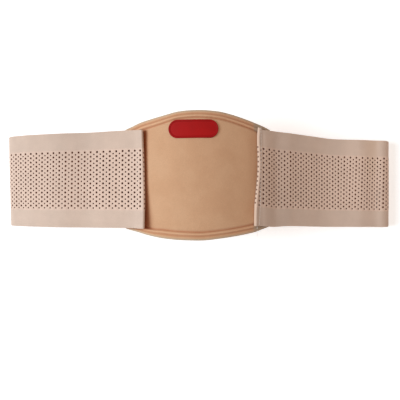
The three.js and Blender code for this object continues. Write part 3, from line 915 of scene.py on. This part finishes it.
class BandEnds:
    """The folded hems: under layer, lip and the few millimetres up to the first column."""

    def __init__(self, settings, pitch, free, sewn):
        self.cloth = FlatCloth(settings)
        cloth = self.cloth
        quarter = pitch / 4
        self.hem([free["tip"], free["arc"], free["arc_end"], free["column"] - quarter],
                 free["notch"], TOP_ROW - cloth.row / 2)
        self.hem([sewn["tip"], sewn["arc_end"], sewn["arc"], sewn["column"] + quarter],
                 sewn["notch"], TOP_ROW)

    def hem(self, marks, notch, first_notch):
        """One end, from its tip under the band, round the fold and up to the first column."""
        cloth = self.cloth
        tip, near, far, column = marks
        count = math.ceil(abs(near - tip) / UNDER_STEP)
        under = [tip + (near - tip) * i / count for i in range(count)]
        bend = [near + (far - near) * i / LIP_STEPS for i in range(LIP_STEPS + 1)]
        places = under + bend
        ways = 1 if column > tip else -1
        fine = cloth.rows(LIP_ROWS)
        for x0, x1 in zip(places, places[1:]):
            self.band_round(x0, x1, fine, ways)
        self.join_up(places[-1], column, ways)
        self.cap(places[0], fine, ways)
        for i in range(HOLE_ROWS):
            self.notch(notch, first_notch - i * cloth.row)

    def band_round(self, x0, x1, rows, ways):
        """Both faces and both selvedges between two places along the band."""
        cloth = self.cloth
        for side in (1, -1):
            section = [(v, side * cloth.skin_at(v)) for v in rows]
            cloth.strip(x0, x1, section, -side * ways)
        cloth.strip(x0, x1, cloth.margin(1), -ways)
        cloth.strip(x0, x1, cloth.margin(-1), ways)

    def join_up(self, x0, x1, ways):
        """From the fine rows of the lip to the coarse ones of the first column."""
        cloth = self.cloth
        fine, coarse = cloth.rows(LIP_ROWS), cloth.rows()
        for side in (1, -1):
            for i in range(len(coarse) - 1):
                across = fine[LIP_ROWS * i:LIP_ROWS * (i + 1) + 1]
                near = [(x0, v, side * cloth.skin_at(v)) for v in across]
                far = [(x1, v, side * cloth.skin_at(v)) for v in coarse[i:i + 2]]
                corners = near + far[::-1]
                cloth.face([cloth.point(*c) for c in corners], side * ways)
        cloth.strip(x0, x1, cloth.margin(1), -ways)
        cloth.strip(x0, x1, cloth.margin(-1), ways)

    def cap(self, x, rows, ways):
        """The cut end of the layer turned under."""
        cloth = self.cloth
        for v0, v1 in zip(rows, rows[1:]):
            corners = [(x, v0, cloth.skin_at(v0)), (x, v1, cloth.skin_at(v1)),
                       (x, v1, -cloth.skin_at(v1)), (x, v0, -cloth.skin_at(v0))]
            cloth.face([cloth.point(*c) for c in corners], -ways)
        for side in (1, -1):
            ring = [cloth.point(x, v, z) for v, z in cloth.margin(side)]
            cloth.face(ring, ways * side)

    def notch(self, x, v):
        """A hole that the fold cuts through: a dent in the lip's outer side, marked for the painted
        hole shade.
        """
        cloth = self.cloth
        for i, (px, pv, pz) in enumerate(cloth.points):
            far = math.hypot((px - x) * NOTCH_NARROWING, pv - v)
            if pz > cloth.skin / 3 and far < NOTCH_REACH:
                deep = 1 - far**2
                cloth.points[i] = (px, pv, pz - NOTCH_DEPTH * deep)
                cloth.dents[i] = max(cloth.dents[i], min(1, NOTCH_DARKENING * deep))


def squared(share):
    """Sine or cosine of a tightly pressed fold, which is squarer than a circle."""
    return math.copysign(abs(share) ** 0.7, share)


def lay_line(settings):
    """The band's middle in its own folds, as (s, h) points, and where its parts lie along it."""
    skin = settings.thickness / MM / 2
    top = BAND_OUTER - skin
    low = top - 2 * FOLD_RADIUS
    mid = (top + low) / 2
    outer = FOLD_RADIUS + skin
    free_centre = FREE_END + outer
    sewn_centre = SEWN_END - outer
    points = [(FREE_END + FREE_HEM, low)]
    for i in range(FOLD_STEPS + 1):
        turn = -math.pi / 2 - math.pi * i / FOLD_STEPS
        points.append((free_centre + FOLD_RADIUS * squared(math.cos(turn)),
                       mid + FOLD_RADIUS * squared(math.sin(turn))))
    points += [(s, top) for s in np.linspace(free_centre, sewn_centre - PINCH_END - 1, 40)[1:]]
    points += [(SEWN_END - back, top - float(table(PINCH_SEWN, back)))
               for back in np.linspace(outer + PINCH_END, outer, 20)[:-1]]
    for i in range(FOLD_STEPS + 1):
        turn = math.pi / 2 - math.pi * i / FOLD_STEPS
        sunk = float(table(PINCH_SEWN, 0)) * max(0, math.sin(turn)) ** 3
        points.append((sewn_centre + FOLD_RADIUS * math.cos(turn),
                       mid + FOLD_RADIUS * math.sin(turn) - sunk))
    points += [(SEWN_END - back, low) for back in UNDER_POINTS]
    points = np.array(points)
    steps_along = np.hypot(*np.diff(points, axis=0).T)
    along = np.concatenate([[0], np.cumsum(steps_along)])
    free_arc = along[1]
    free_end = along[1 + FOLD_STEPS]
    sewn_end = along[-1 - len(UNDER_POINTS)]
    sewn_arc = along[-1 - len(UNDER_POINTS) - FOLD_STEPS]
    free = {
        "tip": 0.0, "arc": free_arc, "arc_end": free_end,
        "notch": free_arc + FREE_NOTCH * (free_end - free_arc),
        "column": free_end + FREE_END + FIRST_COLUMN - free_centre,
    }
    sewn = {
        "tip": along[-1], "arc": sewn_arc, "arc_end": sewn_end,
        "notch": sewn_arc + math.radians(SEWN_NOTCH) * FOLD_RADIUS,
        "column": sewn_arc - (LAST_COLUMN - outer),
    }
    return points, free, sewn


def line_curve(tree, line):
    """A helper object's edges as a curve."""
    shape = tree.add("GeometryNodeObjectInfo", {"Object": line}).outputs["Geometry"]
    return tree.add("GeometryNodeMeshToCurve", {0: shape}).outputs[0]


def sampled(tree, line, distance, name=None):
    """Place and heading at a distance along a curve, and the named number there."""
    wires = {"Curves": line, "Length": distance}
    if name:
        value = tree.add("GeometryNodeInputNamedAttribute", {"Name": name}, data_type="FLOAT")
        wires["Value"] = value.outputs[0]
    return tree.add("GeometryNodeSampleCurve", wires, mode="LENGTH").outputs


def stored(tree, geometry, name, value, kind, domain):
    wires = {"Geometry": geometry, "Name": name, "Value": value}
    made = tree.add("GeometryNodeStoreNamedAttribute", wires, data_type=kind, domain=domain)
    return made.outputs[0]


def joined_columns(tree, given):
    """The column pair repeated along the band and joined to its two ends, still flat."""
    pair = tree.add("GeometryNodeObjectInfo", {"Object": given["Column pair"]}).outputs["Geometry"]
    offset = tree.join(given["Column pitch"], 0.0, 0.0)
    start = tree.join(given["First column"], 0.0, 0.0)
    wires = {"Count": given["Columns"], "Start Location": start, "Offset": offset}
    spots = tree.add("GeometryNodeMeshLine", wires).outputs[0]
    wires = {"Points": spots, "Instance": pair}
    columns = tree.add("GeometryNodeInstanceOnPoints", wires).outputs[0]
    columns = tree.add("GeometryNodeRealizeInstances", {0: columns}).outputs[0]
    both = tree.add("GeometryNodeJoinGeometry")
    tree.tree.links.new(given["Geometry"], both.inputs[0])
    tree.tree.links.new(columns, both.inputs[0])
    wires = {"Geometry": both.outputs[0], "Distance": WELD}
    return tree.add("GeometryNodeMergeByDistance", wires).outputs[0]


def band_tree():
    """Repeats the column pair along the band, joins its ends on, and lays it round the loop."""
    tree = GeometryTree("Perforated band")
    tree.named("Column pair", "NodeSocketObject")
    tree.named("Lay line", "NodeSocketObject")
    tree.named("Carrier line", "NodeSocketObject")
    tree.named("First column", "NodeSocketFloat", 0.0)
    tree.named("Column pitch", "NodeSocketFloat", 0.007)
    tree.named("Columns", "NodeSocketInt", 10)
    tree.named("Half width", "NodeSocketFloat", 0.05)
    tree.named("Ripple", "NodeSocketFloat", 0.0003)
    tree.named("Material", "NodeSocketMaterial")
    given = tree.start()

    flat = joined_columns(tree, given)
    along, across, out = tree.split(tree.add("GeometryNodeInputPosition").outputs[0])
    marked = stored(tree, flat, "UVMap", tree.join(along, across, 0.0), "FLOAT2", "CORNER")

    lay = line_curve(tree, given["Lay line"])
    there = sampled(tree, lay, along)
    away = tree.vector("NORMALIZE", tree.vector("CROSS_PRODUCT", there["Tangent"], (0, 1, 0)))
    kept = tree.math("SUBTRACT", 1.0, sampled(tree, lay, along, "pinch")["Value"])
    lifted = tree.vector_scale(away, tree.math("MULTIPLY", out, kept))
    s, _, h = tree.split(tree.vector("ADD", there["Position"], lifted))

    carrier = line_curve(tree, given["Carrier line"])
    share = tree.math("DIVIDE", across, given["Half width"])
    square = tree.math("MULTIPLY", share, share)

    def number(name):
        """What the carrier line says under that name, at this place of the band."""
        return sampled(tree, carrier, s, name)["Value"]

    # Painted shade and light, eased from the band's bottom to its top
    bottom = number("tone_bottom")
    gained = tree.math("SUBTRACT", number("tone_top"), bottom)
    tone = tree.math("ADD", bottom, tree.math("MULTIPLY", tree.ramp(share, -0.8, 0.8), gained))
    marked = stored(tree, marked, "tone", tone, "FLOAT", "POINT")

    wander = WANDER_START * MM
    for first, last, move in WANDER:
        wander = tree.math("ADD", wander, tree.ramp(share, first, last, 0.0, move * MM))
    wander = tree.math("MULTIPLY", wander, number("wander"))
    leant = tree.math("ADD", tree.math("MULTIPLY", number("lean"), across), wander)
    ground = sampled(tree, carrier, tree.math("ADD", s, leant))
    outward = tree.vector("NORMALIZE", tree.vector("CROSS_PRODUCT", (0, 1, 0), ground["Tangent"]))

    up = tree.math("MULTIPLY", number("above"), tree.math("MAXIMUM", share, 0.0))
    down = tree.math("MULTIPLY", number("below"), tree.math("MINIMUM", share, 0.0))
    inner = tree.math("SUBTRACT", 1.0, tree.math("MULTIPLY", square, square))
    ridden = tree.math("MULTIPLY", number("row_shift"), inner)
    wide = tree.math("ADD", tree.math("ADD", across, ridden), tree.math("ADD", up, down))

    wires = {"Vector": tree.join(s, across, 0.0), "Scale": 28.0, "Detail": 1.0}
    wave = tree.math("SUBTRACT", tree.add("ShaderNodeTexNoise", wires).outputs[0], 0.5)
    at_edge = tree.ramp(tree.math("ABSOLUTE", share), 0.4, 1.0, 0.25, 1.0)
    wave = tree.math("MULTIPLY", tree.math("MULTIPLY", wave, at_edge), given["Ripple"])
    upper = tree.math("GREATER_THAN", share, 0.0)
    lower = tree.math("SUBTRACT", 1.0, upper)
    corner = tree.math("ADD", tree.math("MULTIPLY", upper, number("lift_above")),
                       tree.math("MULTIPLY", lower, number("lift_below")))
    corner = tree.math("MULTIPLY", corner, square)
    bulge = tree.math("MULTIPLY", number("bulge"), share)
    lift = tree.math("ADD", number("lift"), tree.math("ADD", corner, bulge))
    rise = tree.math("ADD", h, tree.math("ADD", lift, wave))
    laid = tree.vector("ADD", ground["Position"], tree.vector_scale(outward, rise))
    laid = tree.vector("ADD", laid, tree.join(0.0, wide, 0.0))
    wires = {"Geometry": marked, "Position": laid}
    tree.finish(tree.add("GeometryNodeSetPosition", wires).outputs[0])
    return tree


def carrier_numbers(s):
    """How the band leans, widens and lifts, and its painted shade and light, at distances s along the
    carrier line.
    """
    from_free = s - FREE_END
    from_sewn = SEWN_END - s
    near_free = from_free < from_sewn

    def flare(column):
        return np.where(near_free, curve(FLARE_FREE, from_free, column),
                        curve(FLARE_SEWN, from_sewn, column)) * MM

    return {
        "lean": np.where(near_free, table(LEAN_FREE, from_free), table(LEAN_SEWN, from_sewn)),
        "tone_top": table(PAINTED_SHADING_FREE, from_free, 1) * table(PAINTED_SHADING_SEWN, from_sewn, 1),
        "tone_bottom": table(PAINTED_SHADING_FREE, from_free, 2) * table(PAINTED_SHADING_SEWN, from_sewn, 2),
        "wander": table(WANDER_SEWN, from_sewn),
        "above": flare(1),
        "below": flare(2),
        "row_shift": np.where(near_free, 0, table(ROW_SHIFT_SEWN, from_sewn)) * MM,
        "lift": table(LIFT_FREE, from_free, 1) * MM,
        "lift_above": table(LIFT_FREE, from_free, 2) * MM,
        "lift_below": table(LIFT_FREE, from_free, 3) * MM,
        "bulge": np.where(near_free, table(BULGE_LEFT, from_free), 0) * MM,
    }


class BELT_OT_elastic_band(bpy.types.Operator):
    """Perforated elastic band, folded at both ends and laid round the loop"""

    bl_idname = "belt.elastic_band"
    bl_label = "Elastic band"

    def execute(self, context):
        settings = context.scene.belt_band
        points, free, sewn = lay_line(settings)
        reach = sewn["column"] - free["column"]
        count = round(reach / (settings.column_pitch / MM) + 0.5)
        pitch = reach / (count - 0.5)
        pair = column_pair(settings, pitch)
        ends = BandEnds(settings, pitch, free, sewn)
        band = ends.cloth.build("elastic_band_cloth")

        start = FREE_END - LINE_SPARE
        s = np.arange(start, SEWN_END + LINE_SPARE, 0.5)
        carrier = polyline("carrier_line", CARRIER.on_belt(s, 0, 0), carrier_numbers(s))
        lay = [((place - start) * MM, 0, height * MM) for place, height in points]
        back = SEWN_END - points[:, 0]
        pinch = np.where(back > PINCH_SEWN[0][0], table(PINCH_SEWN, back, 2), 0)
        laid = polyline("lay_line", lay, {"pinch": pinch})
        band_tree().run(band, {
            "Column pair": pair, "Lay line": laid, "Carrier line": carrier,
            "First column": free["column"] * MM, "Column pitch": pitch * MM, "Columns": count,
            "Half width": settings.width / 2, "Ripple": RIPPLE,
            "Material": elastic_material(settings),
        })
        for helper in (pair, carrier, laid):
            bpy.data.objects.remove(helper)
        smooth(band)
        put_on(band, "band_elastic", "elastic_band")
        return {"FINISHED"}


def panel_outline(s):
    """Half heights of the panel above and below its middle line, and the wing's share."""
    def corner(to_end, radius):
        inside = np.clip(1 - to_end / radius, 0, 1)
        return radius * (1 - np.sqrt(1 - inside * inside))

    cut = corner(PANEL_RIGHT_LENGTH + s, PANEL_CORNER)
    cut = cut + corner(PANEL_LEFT_LENGTH + WING_LENGTH - s, WING_CORNER)
    wing = ease((s - PANEL_LEFT_LENGTH + WING_SHOULDER) / WING_SHOULDER)
    left = s / (PANEL_RIGHT_LENGTH if s < 0 else PANEL_LEFT_LENGTH)
    above = PANEL_ABOVE * curve(TOP_OUTLINE, left)
    below = PANEL_BELOW * curve(BOTTOM_OUTLINE, left)
    above = above + (WING_WIDTH / 2 - above) * wing - cut
    below = below + (WING_WIDTH / 2 - below) * wing - cut
    return above, below, wing


def rim_section(rim_width):
    """Rim from the field's border to the edge: shares of its width and of its depth."""
    rows = [(1 + FIELD_RISE / rim_width, 0), *RIM_PROFILE]
    insets = np.concatenate([
        np.linspace(a[0], b[0], RIM_STEPS + 1)[:-1] for a, b in zip(rows, rows[1:])
    ] + [[0.0]])
    return insets, table(rows[::-1], insets)


def painted_rim_shading(inset, share):
    """How much painted shade darkens a groove, or a painted highlight lightens the ridge, at shares of
    the rim's width and depth.
    """
    tint = 0
    for start, depth, rate in (INNER_GROOVE, OUTER_GROOVE):
        if inset > start:
            tint = rate * max(0.0, share - depth)
            break
    if inset < 1:
        tint -= RIDGE_RATE * max(0.0, RIDGE_BELOW - share)
    return tint


def edge_grey_and_painted_shade(s, inset, rim):
    """How grey the rim is: the grey of its cut edge, and painted shade beside the sewn fold."""
    reach, fade, most = CUT_EDGE
    at_edge = most * ease((reach - rim * inset) / fade)
    start, fade, most = PAINTED_SHADE_BESIDE_SEWN_FOLD
    at_fold = most * ease((start - s) / fade) * ease((1.1 - inset) / 0.2)
    return max(at_edge, at_fold)


def pucker(s, side):
    """Slow waves of the rim's depth along one side of the panel."""
    return 1 + sum(size * math.sin(s * turns + lag * side) for size, turns, lag in RIM_PUCKERS)


class BELT_OT_front_panel(bpy.types.Operator):
    """Padded front panel with its pressed rim, and the wing under the band's free end"""

    bl_idname = "belt.front_panel"
    bl_label = "Front panel"

    def half_section(self, s, side, reach, wing):
        """From the middle line out over field, rim and edge, and back on the lining."""
        thick = PANEL_THICKNESS + (WING_THICKNESS - PANEL_THICKNESS) * wing
        depth = RIM_DEPTH * (1 - wing)
        edge = min(RIM_EDGE, thick - depth * RIM_PROFILE[-1][1] - GAP)
        rim = float(table(RIM_TOP if side > 0 else RIM_BOTTOM, s))
        inner = reach - rim - FIELD_RISE
        first = 1 if side < 0 else 0
        rows = [(inner * i / FIELD_STEPS, 0, 0, 0, 0) for i in range(first, FIELD_STEPS)]
        # Each rim row carries its painted groove shade or ridge highlight, and its grey: that of the
        # cut edge and the painted shade beside the sewn fold
        for inset, share in zip(*rim_section(rim)):
            rows.append((reach - rim * inset, -depth * share * pucker(s, side),
                         painted_rim_shading(inset, share) * (1 - wing), edge_grey_and_painted_shade(s, inset, rim), 0))
        start = rows[-1][1]
        for i in range(1, EDGE_STEPS + 1):
            turn = math.pi * i / EDGE_STEPS
            out = EDGE_BULGE * math.sin(turn) - EDGE_UNDERCUT * i / EDGE_STEPS
            rows.append((reach + out, start - edge * (1 - math.cos(turn)) / 2, 0, 1, 0.2))
        last_y, last_h = rows[-1][:2]
        for i in range(1, LINING_STEPS + 1):
            back = i / LINING_STEPS
            height = last_h + (-thick - last_h) * ease(back * 3)
            rows.append((last_y * (1 - back), height, 0, 0, 1))
        return [(side * y, h, groove, edge, lining) for y, h, groove, edge, lining in rows]

    def section(self, s):
        """One ring round the panel at s: y, h, groove, edge and lining."""
        above, below, wing = panel_outline(s)
        top = self.half_section(s, 1, above, wing)
        bottom = self.half_section(s, -1, below, wing)
        return top + bottom[::-1][1:]

    def execute(self, context):
        settings = context.scene.belt_panel
        start, stop = -PANEL_RIGHT_LENGTH, PANEL_LEFT_LENGTH + WING_LENGTH
        turned = 1 - np.cos(np.linspace(0, math.pi / 2, 10)[:-1])
        inside = np.arange(start + PANEL_CORNER, stop - WING_CORNER, STATION_STEP)
        stations = np.concatenate([start + PANEL_CORNER * turned, inside,
                                   (stop - WING_CORNER * turned)[::-1]])
        rings = np.array([self.section(s) for s in stations])
        around, size = rings.shape[:2]
        y, h, groove, edge, lining = np.moveaxis(rings, 2, 0)
        place = stations[:, None]
        waves = sum(height * np.sin(place * along + y * across + lag)
                    for height, along, across, lag in FIELD_WAVES)
        on_field = (lining < 0.1) & (h > -0.05)
        h = h + np.where(on_field, waves - FIELD_SINK, 0)
        points = CARRIER.on_belt(place, y, h).reshape(-1, 3)
        faces = ring_faces(around, size)
        faces.append(tuple(range(size)))
        faces.append(tuple(range((around - 1) * size, around * size))[::-1])
        # Painted shadow in front of the free end, wider towards the bottom
        spread = PAINTED_SHADOW_REACH + PAINTED_SHADOW_SPREAD * ease(-y / (BAND_WIDTH / 2))
        crease = ease(1 - (FREE_END + 1 - place) / spread) ** PAINTED_SHADOW_POWER
        crease = crease * ease((PAINTED_SHADOW_END - np.abs(y)) / PAINTED_SHADOW_FADE)
        # Painted shade along the panel, darker towards the right
        nap = np.broadcast_to(table(PAINTED_PANEL_SHADE, place), y.shape)
        floats = {
            "groove": groove.ravel(), "edge": edge.ravel(), "lining": lining.ravel(),
            "crease": crease.ravel(), "nap": nap.ravel(),
        }
        panel = new_mesh("front_panel_velour", points, faces, floats=floats)
        panel.data.materials.append(velour_material(settings))
        smooth(panel, 55)
        put_on(panel, "panel_cloth", "front_panel")
        return {"FINISHED"}


class BELT_OT_hook_patch(bpy.types.Operator):
    """Hook patch between the band's free end and the panel's wing"""

    bl_idname = "belt.hook_patch"
    bl_label = "Hook patch"

    def execute(self, context):
        thread = context.scene.belt_thread
        soft = PATCH_THICKNESS / 2
        inner = PATCH_WIDTH / 2 - soft
        middle = GAP + soft
        ring = []
        for side in (1, -1):
            for i in range(PATCH_TURN_STEPS + 1):
                turn = math.pi / 2 - math.pi * i / PATCH_TURN_STEPS
                ring.append((side * (inner + soft * math.cos(turn)),
                             middle + side * soft * math.sin(turn)))
            for i in range(1, PATCH_FACE_STEPS):
                ring.append((side * inner * (1 - 2 * i / PATCH_FACE_STEPS), middle - side * soft))
        stations = np.linspace(PATCH_START, PATCH_END, PATCH_STATIONS)
        y = np.array([row[0] for row in ring])[None, :]
        h = np.array([row[1] for row in ring])[None, :]
        points = CARRIER.on_belt(stations[:, None], y, h).reshape(-1, 3)
        faces = ring_faces(len(stations), len(ring))
        faces.append(tuple(range(len(ring))))
        last = (len(stations) - 1) * len(ring)
        faces.append(tuple(range(last, last + len(ring)))[::-1])
        patch = new_mesh("hook_patch_tape", points, faces)
        patch.data.materials.append(hook_material(thread))
        smooth(patch)
        put_on(patch, "hook_tape", "hook_patch")
        return {"FINISHED"}


class BELT_OT_label(bpy.types.Operator):
    """Blank moulded label with a raised rim, bent to the panel's face"""

    bl_idname = "belt.label"
    bl_label = "Label"

    def outline(self, inset):
        """The label's outline, moved in: (along, across) from its right end over the top."""
        radius = LABEL_WIDTH / 2 - inset
        straight = LABEL_LENGTH / 2 - LABEL_WIDTH / 2
        turns = (np.arange(LABEL_END_STEPS) + 0.5) / LABEL_END_STEPS * math.pi / 2
        right = [(straight + radius * math.cos(t), radius * math.sin(t)) for t in turns]
        over = [(a, radius) for a in np.linspace(straight, -straight, LABEL_SIDE_STEPS + 1)]
        left = [(-a, b) for a, b in reversed(right)]
        half = right + over + left
        return half + [(a, -b) for a, b in reversed(half)]

    def execute(self, context):
        settings = context.scene.belt_label
        turn = math.radians(LABEL_TURN)
        points, rims = [], []
        for inset, height, rim in LABEL_LAYERS:
            for along, across in self.outline(inset):
                right = along * math.cos(turn) - across * math.sin(turn)
                up = along * math.sin(turn) + across * math.cos(turn)
                points.append(CARRIER.on_belt(LABEL_BESIDE_CREST - right, LABEL_UP + up, GAP + height))
                rims.append(rim)
        size = len(self.outline(0))
        faces = ring_faces(len(LABEL_LAYERS), size)
        for first, flip in ((0, False), ((len(LABEL_LAYERS) - 1) * size, True)):
            for i in range(size // 2 - 1):
                quad = [first + i, first + i + 1, first + size - 2 - i, first + size - 1 - i]
                faces.append(tuple(reversed(quad)) if flip else tuple(quad))
        faces = [tuple(reversed(face)) for face in faces]
        badge = new_mesh("label_rubber", points, faces, floats={"rim": rims})
        badge.data.materials.append(rubber_material(settings))
        smooth(badge, 60)
        put_on(badge, "label_rubber", "label")
        return {"FINISHED"}


def stitch_tree():
    """Stitches of one length along a line, each turned to lie on the cloth."""
    tree = GeometryTree("Stitch row")
    tree.named("Stitch", "NodeSocketObject")
    tree.named("Pitch", "NodeSocketFloat", 0.003)
    tree.named("Material", "NodeSocketMaterial")
    given = tree.start()
    stitch = tree.add("GeometryNodeObjectInfo", {"Object": given["Stitch"]}).outputs["Geometry"]
    line = tree.add("GeometryNodeMeshToCurve", {0: given["Geometry"]}).outputs[0]
    wires = {"Curve": line, "Length": given["Pitch"]}
    line = tree.add("GeometryNodeResampleCurve", wires, mode="LENGTH").outputs[0]
    heading = tree.add("GeometryNodeInputTangent").outputs[0]
    turned = tree.add("FunctionNodeAlignRotationToVector", {"Vector": heading}, axis="X").outputs[0]
    wires = {"Points": line, "Instance": stitch, "Rotation": turned}
    tree.finish(tree.add("GeometryNodeInstanceOnPoints", wires).outputs[0])
    return tree


def stitch_mesh(length, radius):
    """One stitch: a short straight thread, rounded off at its ends."""
    sides = 6
    profile = [(-0.5, 0.25), (-0.42, 0.8), (-0.2, 1), (0.2, 1), (0.42, 0.8), (0.5, 0.25)]
    points = []
    for along, share in profile:
        for i in range(sides):
            turn = 2 * math.pi * i / sides
            points.append((along * length, radius * share * math.cos(turn),
                           radius * share * math.sin(turn)))
    faces = ring_faces(len(profile), sides)
    faces.append(tuple(range(sides)))
    last = (len(profile) - 1) * sides
    faces.append(tuple(range(last, last + sides))[::-1])
    faces = [tuple(reversed(face)) for face in faces]
    return new_mesh("stitch", points, faces)


class BELT_OT_stitches(bpy.types.Operator):
    """Stitch rows of the two hems, and the bar tack at the panel's lower right"""

    bl_idname = "belt.stitches"
    bl_label = "Stitches"

    def execute(self, context):
        settings = context.scene.belt_thread
        stitch = stitch_mesh(settings.length, settings.radius)
        tree = stitch_tree()
        y = np.linspace(*FREE_ROW_SPAN, ROW_POINTS)
        free = CARRIER.on_belt(FREE_END + FREE_ROW_BACK + y * FREE_ROW_SLANT, y * FREE_ROW_STRETCH,
                               THREAD_HEIGHT)
        y = np.linspace(*SEWN_ROW_SPAN, ROW_POINTS)
        bow = (y / (BAND_WIDTH / 2)) ** 2
        sewn = CARRIER.on_belt(SEWN_END - SEWN_ROW_BACK - y * SEWN_ROW_SLANT + bow,
                               np.where(y > 0, y * SEWN_ROW_STRETCH, y), THREAD_HEIGHT)
        y = np.linspace(*TACK_SPAN, TACK_POINTS)
        tack = CARRIER.on_belt(SEWN_END - TACK_BACK, y, TACK_HEIGHT)
        for name, line, value in (("hem_stitches_free", free, settings.hem),
                                  ("hem_stitches_sewn", sewn, settings.hem),
                                  ("tack_stitches", tack, settings.tack)):
            row = polyline(name, line)
            tree.run(row, {"Stitch": stitch, "Pitch": settings.pitch,
                           "Material": thread_material(name + " thread", value)})
            smooth(row, 80)
            put_on(row, "band_elastic")
        bpy.data.objects.remove(stitch)
        return {"FINISHED"}


def area_light(name, place, size, energy, tint):
    """Round light that shines from a place towards the belt."""
    light = bpy.data.lights.new(name, "AREA")
    light.shape = "DISK"
    light.size = size
    light.energy = energy
    light.color = tint
    obj = bpy.data.objects.new(name, light)
    bpy.context.scene.collection.objects.link(obj)
    obj.location = place
    aim = Vector(LIGHT_TARGET) - Vector(place)
    obj.rotation_euler = aim.to_track_quat("-Z", "Y").to_euler()


def paper_material(settings):
    """White paper of the floor, which glows a little so that it stays white under the belt."""
    material, graph, shader = new_material("floor paper")
    place = graph.add("ShaderNodeTexCoord").outputs["Object"]
    grain = noise(graph, place, 400.0)
    grey = graph.ramp(grain, 0.3, 0.7, 0.985, 1.0)
    base = blended(graph, 1.0, colour(settings.floor), graph.join(grey, grey, grey), "MULTIPLY")
    graph.tree.links.new(base, shader.inputs["Base Color"])
    shader.inputs["Roughness"].default_value = 0.95
    shader.inputs["Emission Color"].default_value = WHITE
    shader.inputs["Emission Strength"].default_value = 0.45
    return material


def studio_world(settings):
    """Warm light from all round, with a plain white background for the camera."""
    world = bpy.data.worlds.new("studio")
    world.use_nodes = True
    graph = NodeGraph(world.node_tree)
    seen = graph.add("ShaderNodeLightPath").outputs["Is Camera Ray"]
    sky = world.node_tree.nodes["Background"]
    graph.tree.links.new(blended(graph, seen, SKY_TINT, WHITE), sky.inputs["Color"])
    strength = graph.ramp(seen, 0.0, 1.0, settings.sky, BACKDROP, smooth=False)
    graph.tree.links.new(strength, sky.inputs["Strength"])
    return world


class BELT_OT_stage(bpy.types.Operator):
    """Camera over the belt, floor, lights and background"""

    bl_idname = "belt.stage"
    bl_label = "Stage"

    def execute(self, context):
        settings = context.scene.belt_stage
        scene = context.scene
        lens = bpy.data.cameras.new("camera")
        lens.lens = CAMERA_LENS
        lens.sensor_width = CAMERA_SENSOR
        camera = bpy.data.objects.new("camera", lens)
        camera.location = CAMERA_PLACE
        scene.collection.objects.link(camera)
        scene.camera = camera

        corners = [(x * FLOOR_REACH, y * FLOOR_REACH, -FLOOR_DROP)
                   for x, y in ((-1, -1), (1, -1), (1, 1), (-1, 1))]
        floor = new_mesh("floor", corners, [(0, 1, 2, 3)])
        floor.data.materials.append(paper_material(settings))

        area_light("key light", KEY_PLACE, KEY_SIZE, settings.key, KEY_TINT)
        area_light("fill light", FILL_PLACE, FILL_SIZE, FILL_POWER, FILL_TINT)
        scene.world = studio_world(settings)
        scene.view_settings.view_transform = "Standard"
        return {"FINISHED"}


class BELT_PT_sidebar(bpy.types.Panel):
    """The belt's sizes, colours and pieces"""

    bl_idname = "BELT_PT_sidebar"
    bl_label = "Hernia belt"
    bl_space_type = "VIEW_3D"
    bl_region_type = "UI"
    bl_category = "Belt"

    def draw(self, context):
        layout = self.layout
        for key, (title, _) in GROUPS.items():
            box = layout.box()
            box.label(text=title)
            group = getattr(context.scene, key)
            for name in group.bl_rna.properties.keys():
                if name not in {"rna_type", "name"}:
                    box.prop(group, name)
        for step in STEPS:
            layout.operator(step.bl_idname)


GROUPS = {
    "belt_band": ("Elastic band", BandSettings),
    "belt_panel": ("Front panel", PanelSettings),
    "belt_label": ("Label", LabelSettings),
    "belt_thread": ("Thread", ThreadSettings),
    "belt_stage": ("Stage", StageSettings),
}
STEPS = [
    BELT_OT_stage,
    BELT_OT_elastic_band,
    BELT_OT_front_panel,
    BELT_OT_hook_patch,
    BELT_OT_label,
    BELT_OT_stitches,
]


def register():
    for key, (_, group) in GROUPS.items():
        bpy.utils.register_class(group)
        setattr(bpy.types.Scene, key, bpy.props.PointerProperty(type=group))
    for step in STEPS:
        bpy.utils.register_class(step)
    bpy.utils.register_class(BELT_PT_sidebar)


def unregister():
    bpy.utils.unregister_class(BELT_PT_sidebar)
    for step in reversed(STEPS):
        bpy.utils.unregister_class(step)
    for key, (_, group) in GROUPS.items():
        delattr(bpy.types.Scene, key)
        bpy.utils.unregister_class(group)


def main():
    register()
    bpy.ops.belt.stage()
    bpy.ops.belt.elastic_band()
    bpy.ops.belt.front_panel()
    bpy.ops.belt.hook_patch()
    bpy.ops.belt.label()
    bpy.ops.belt.stitches()


if __name__ == "__main__":
    main()
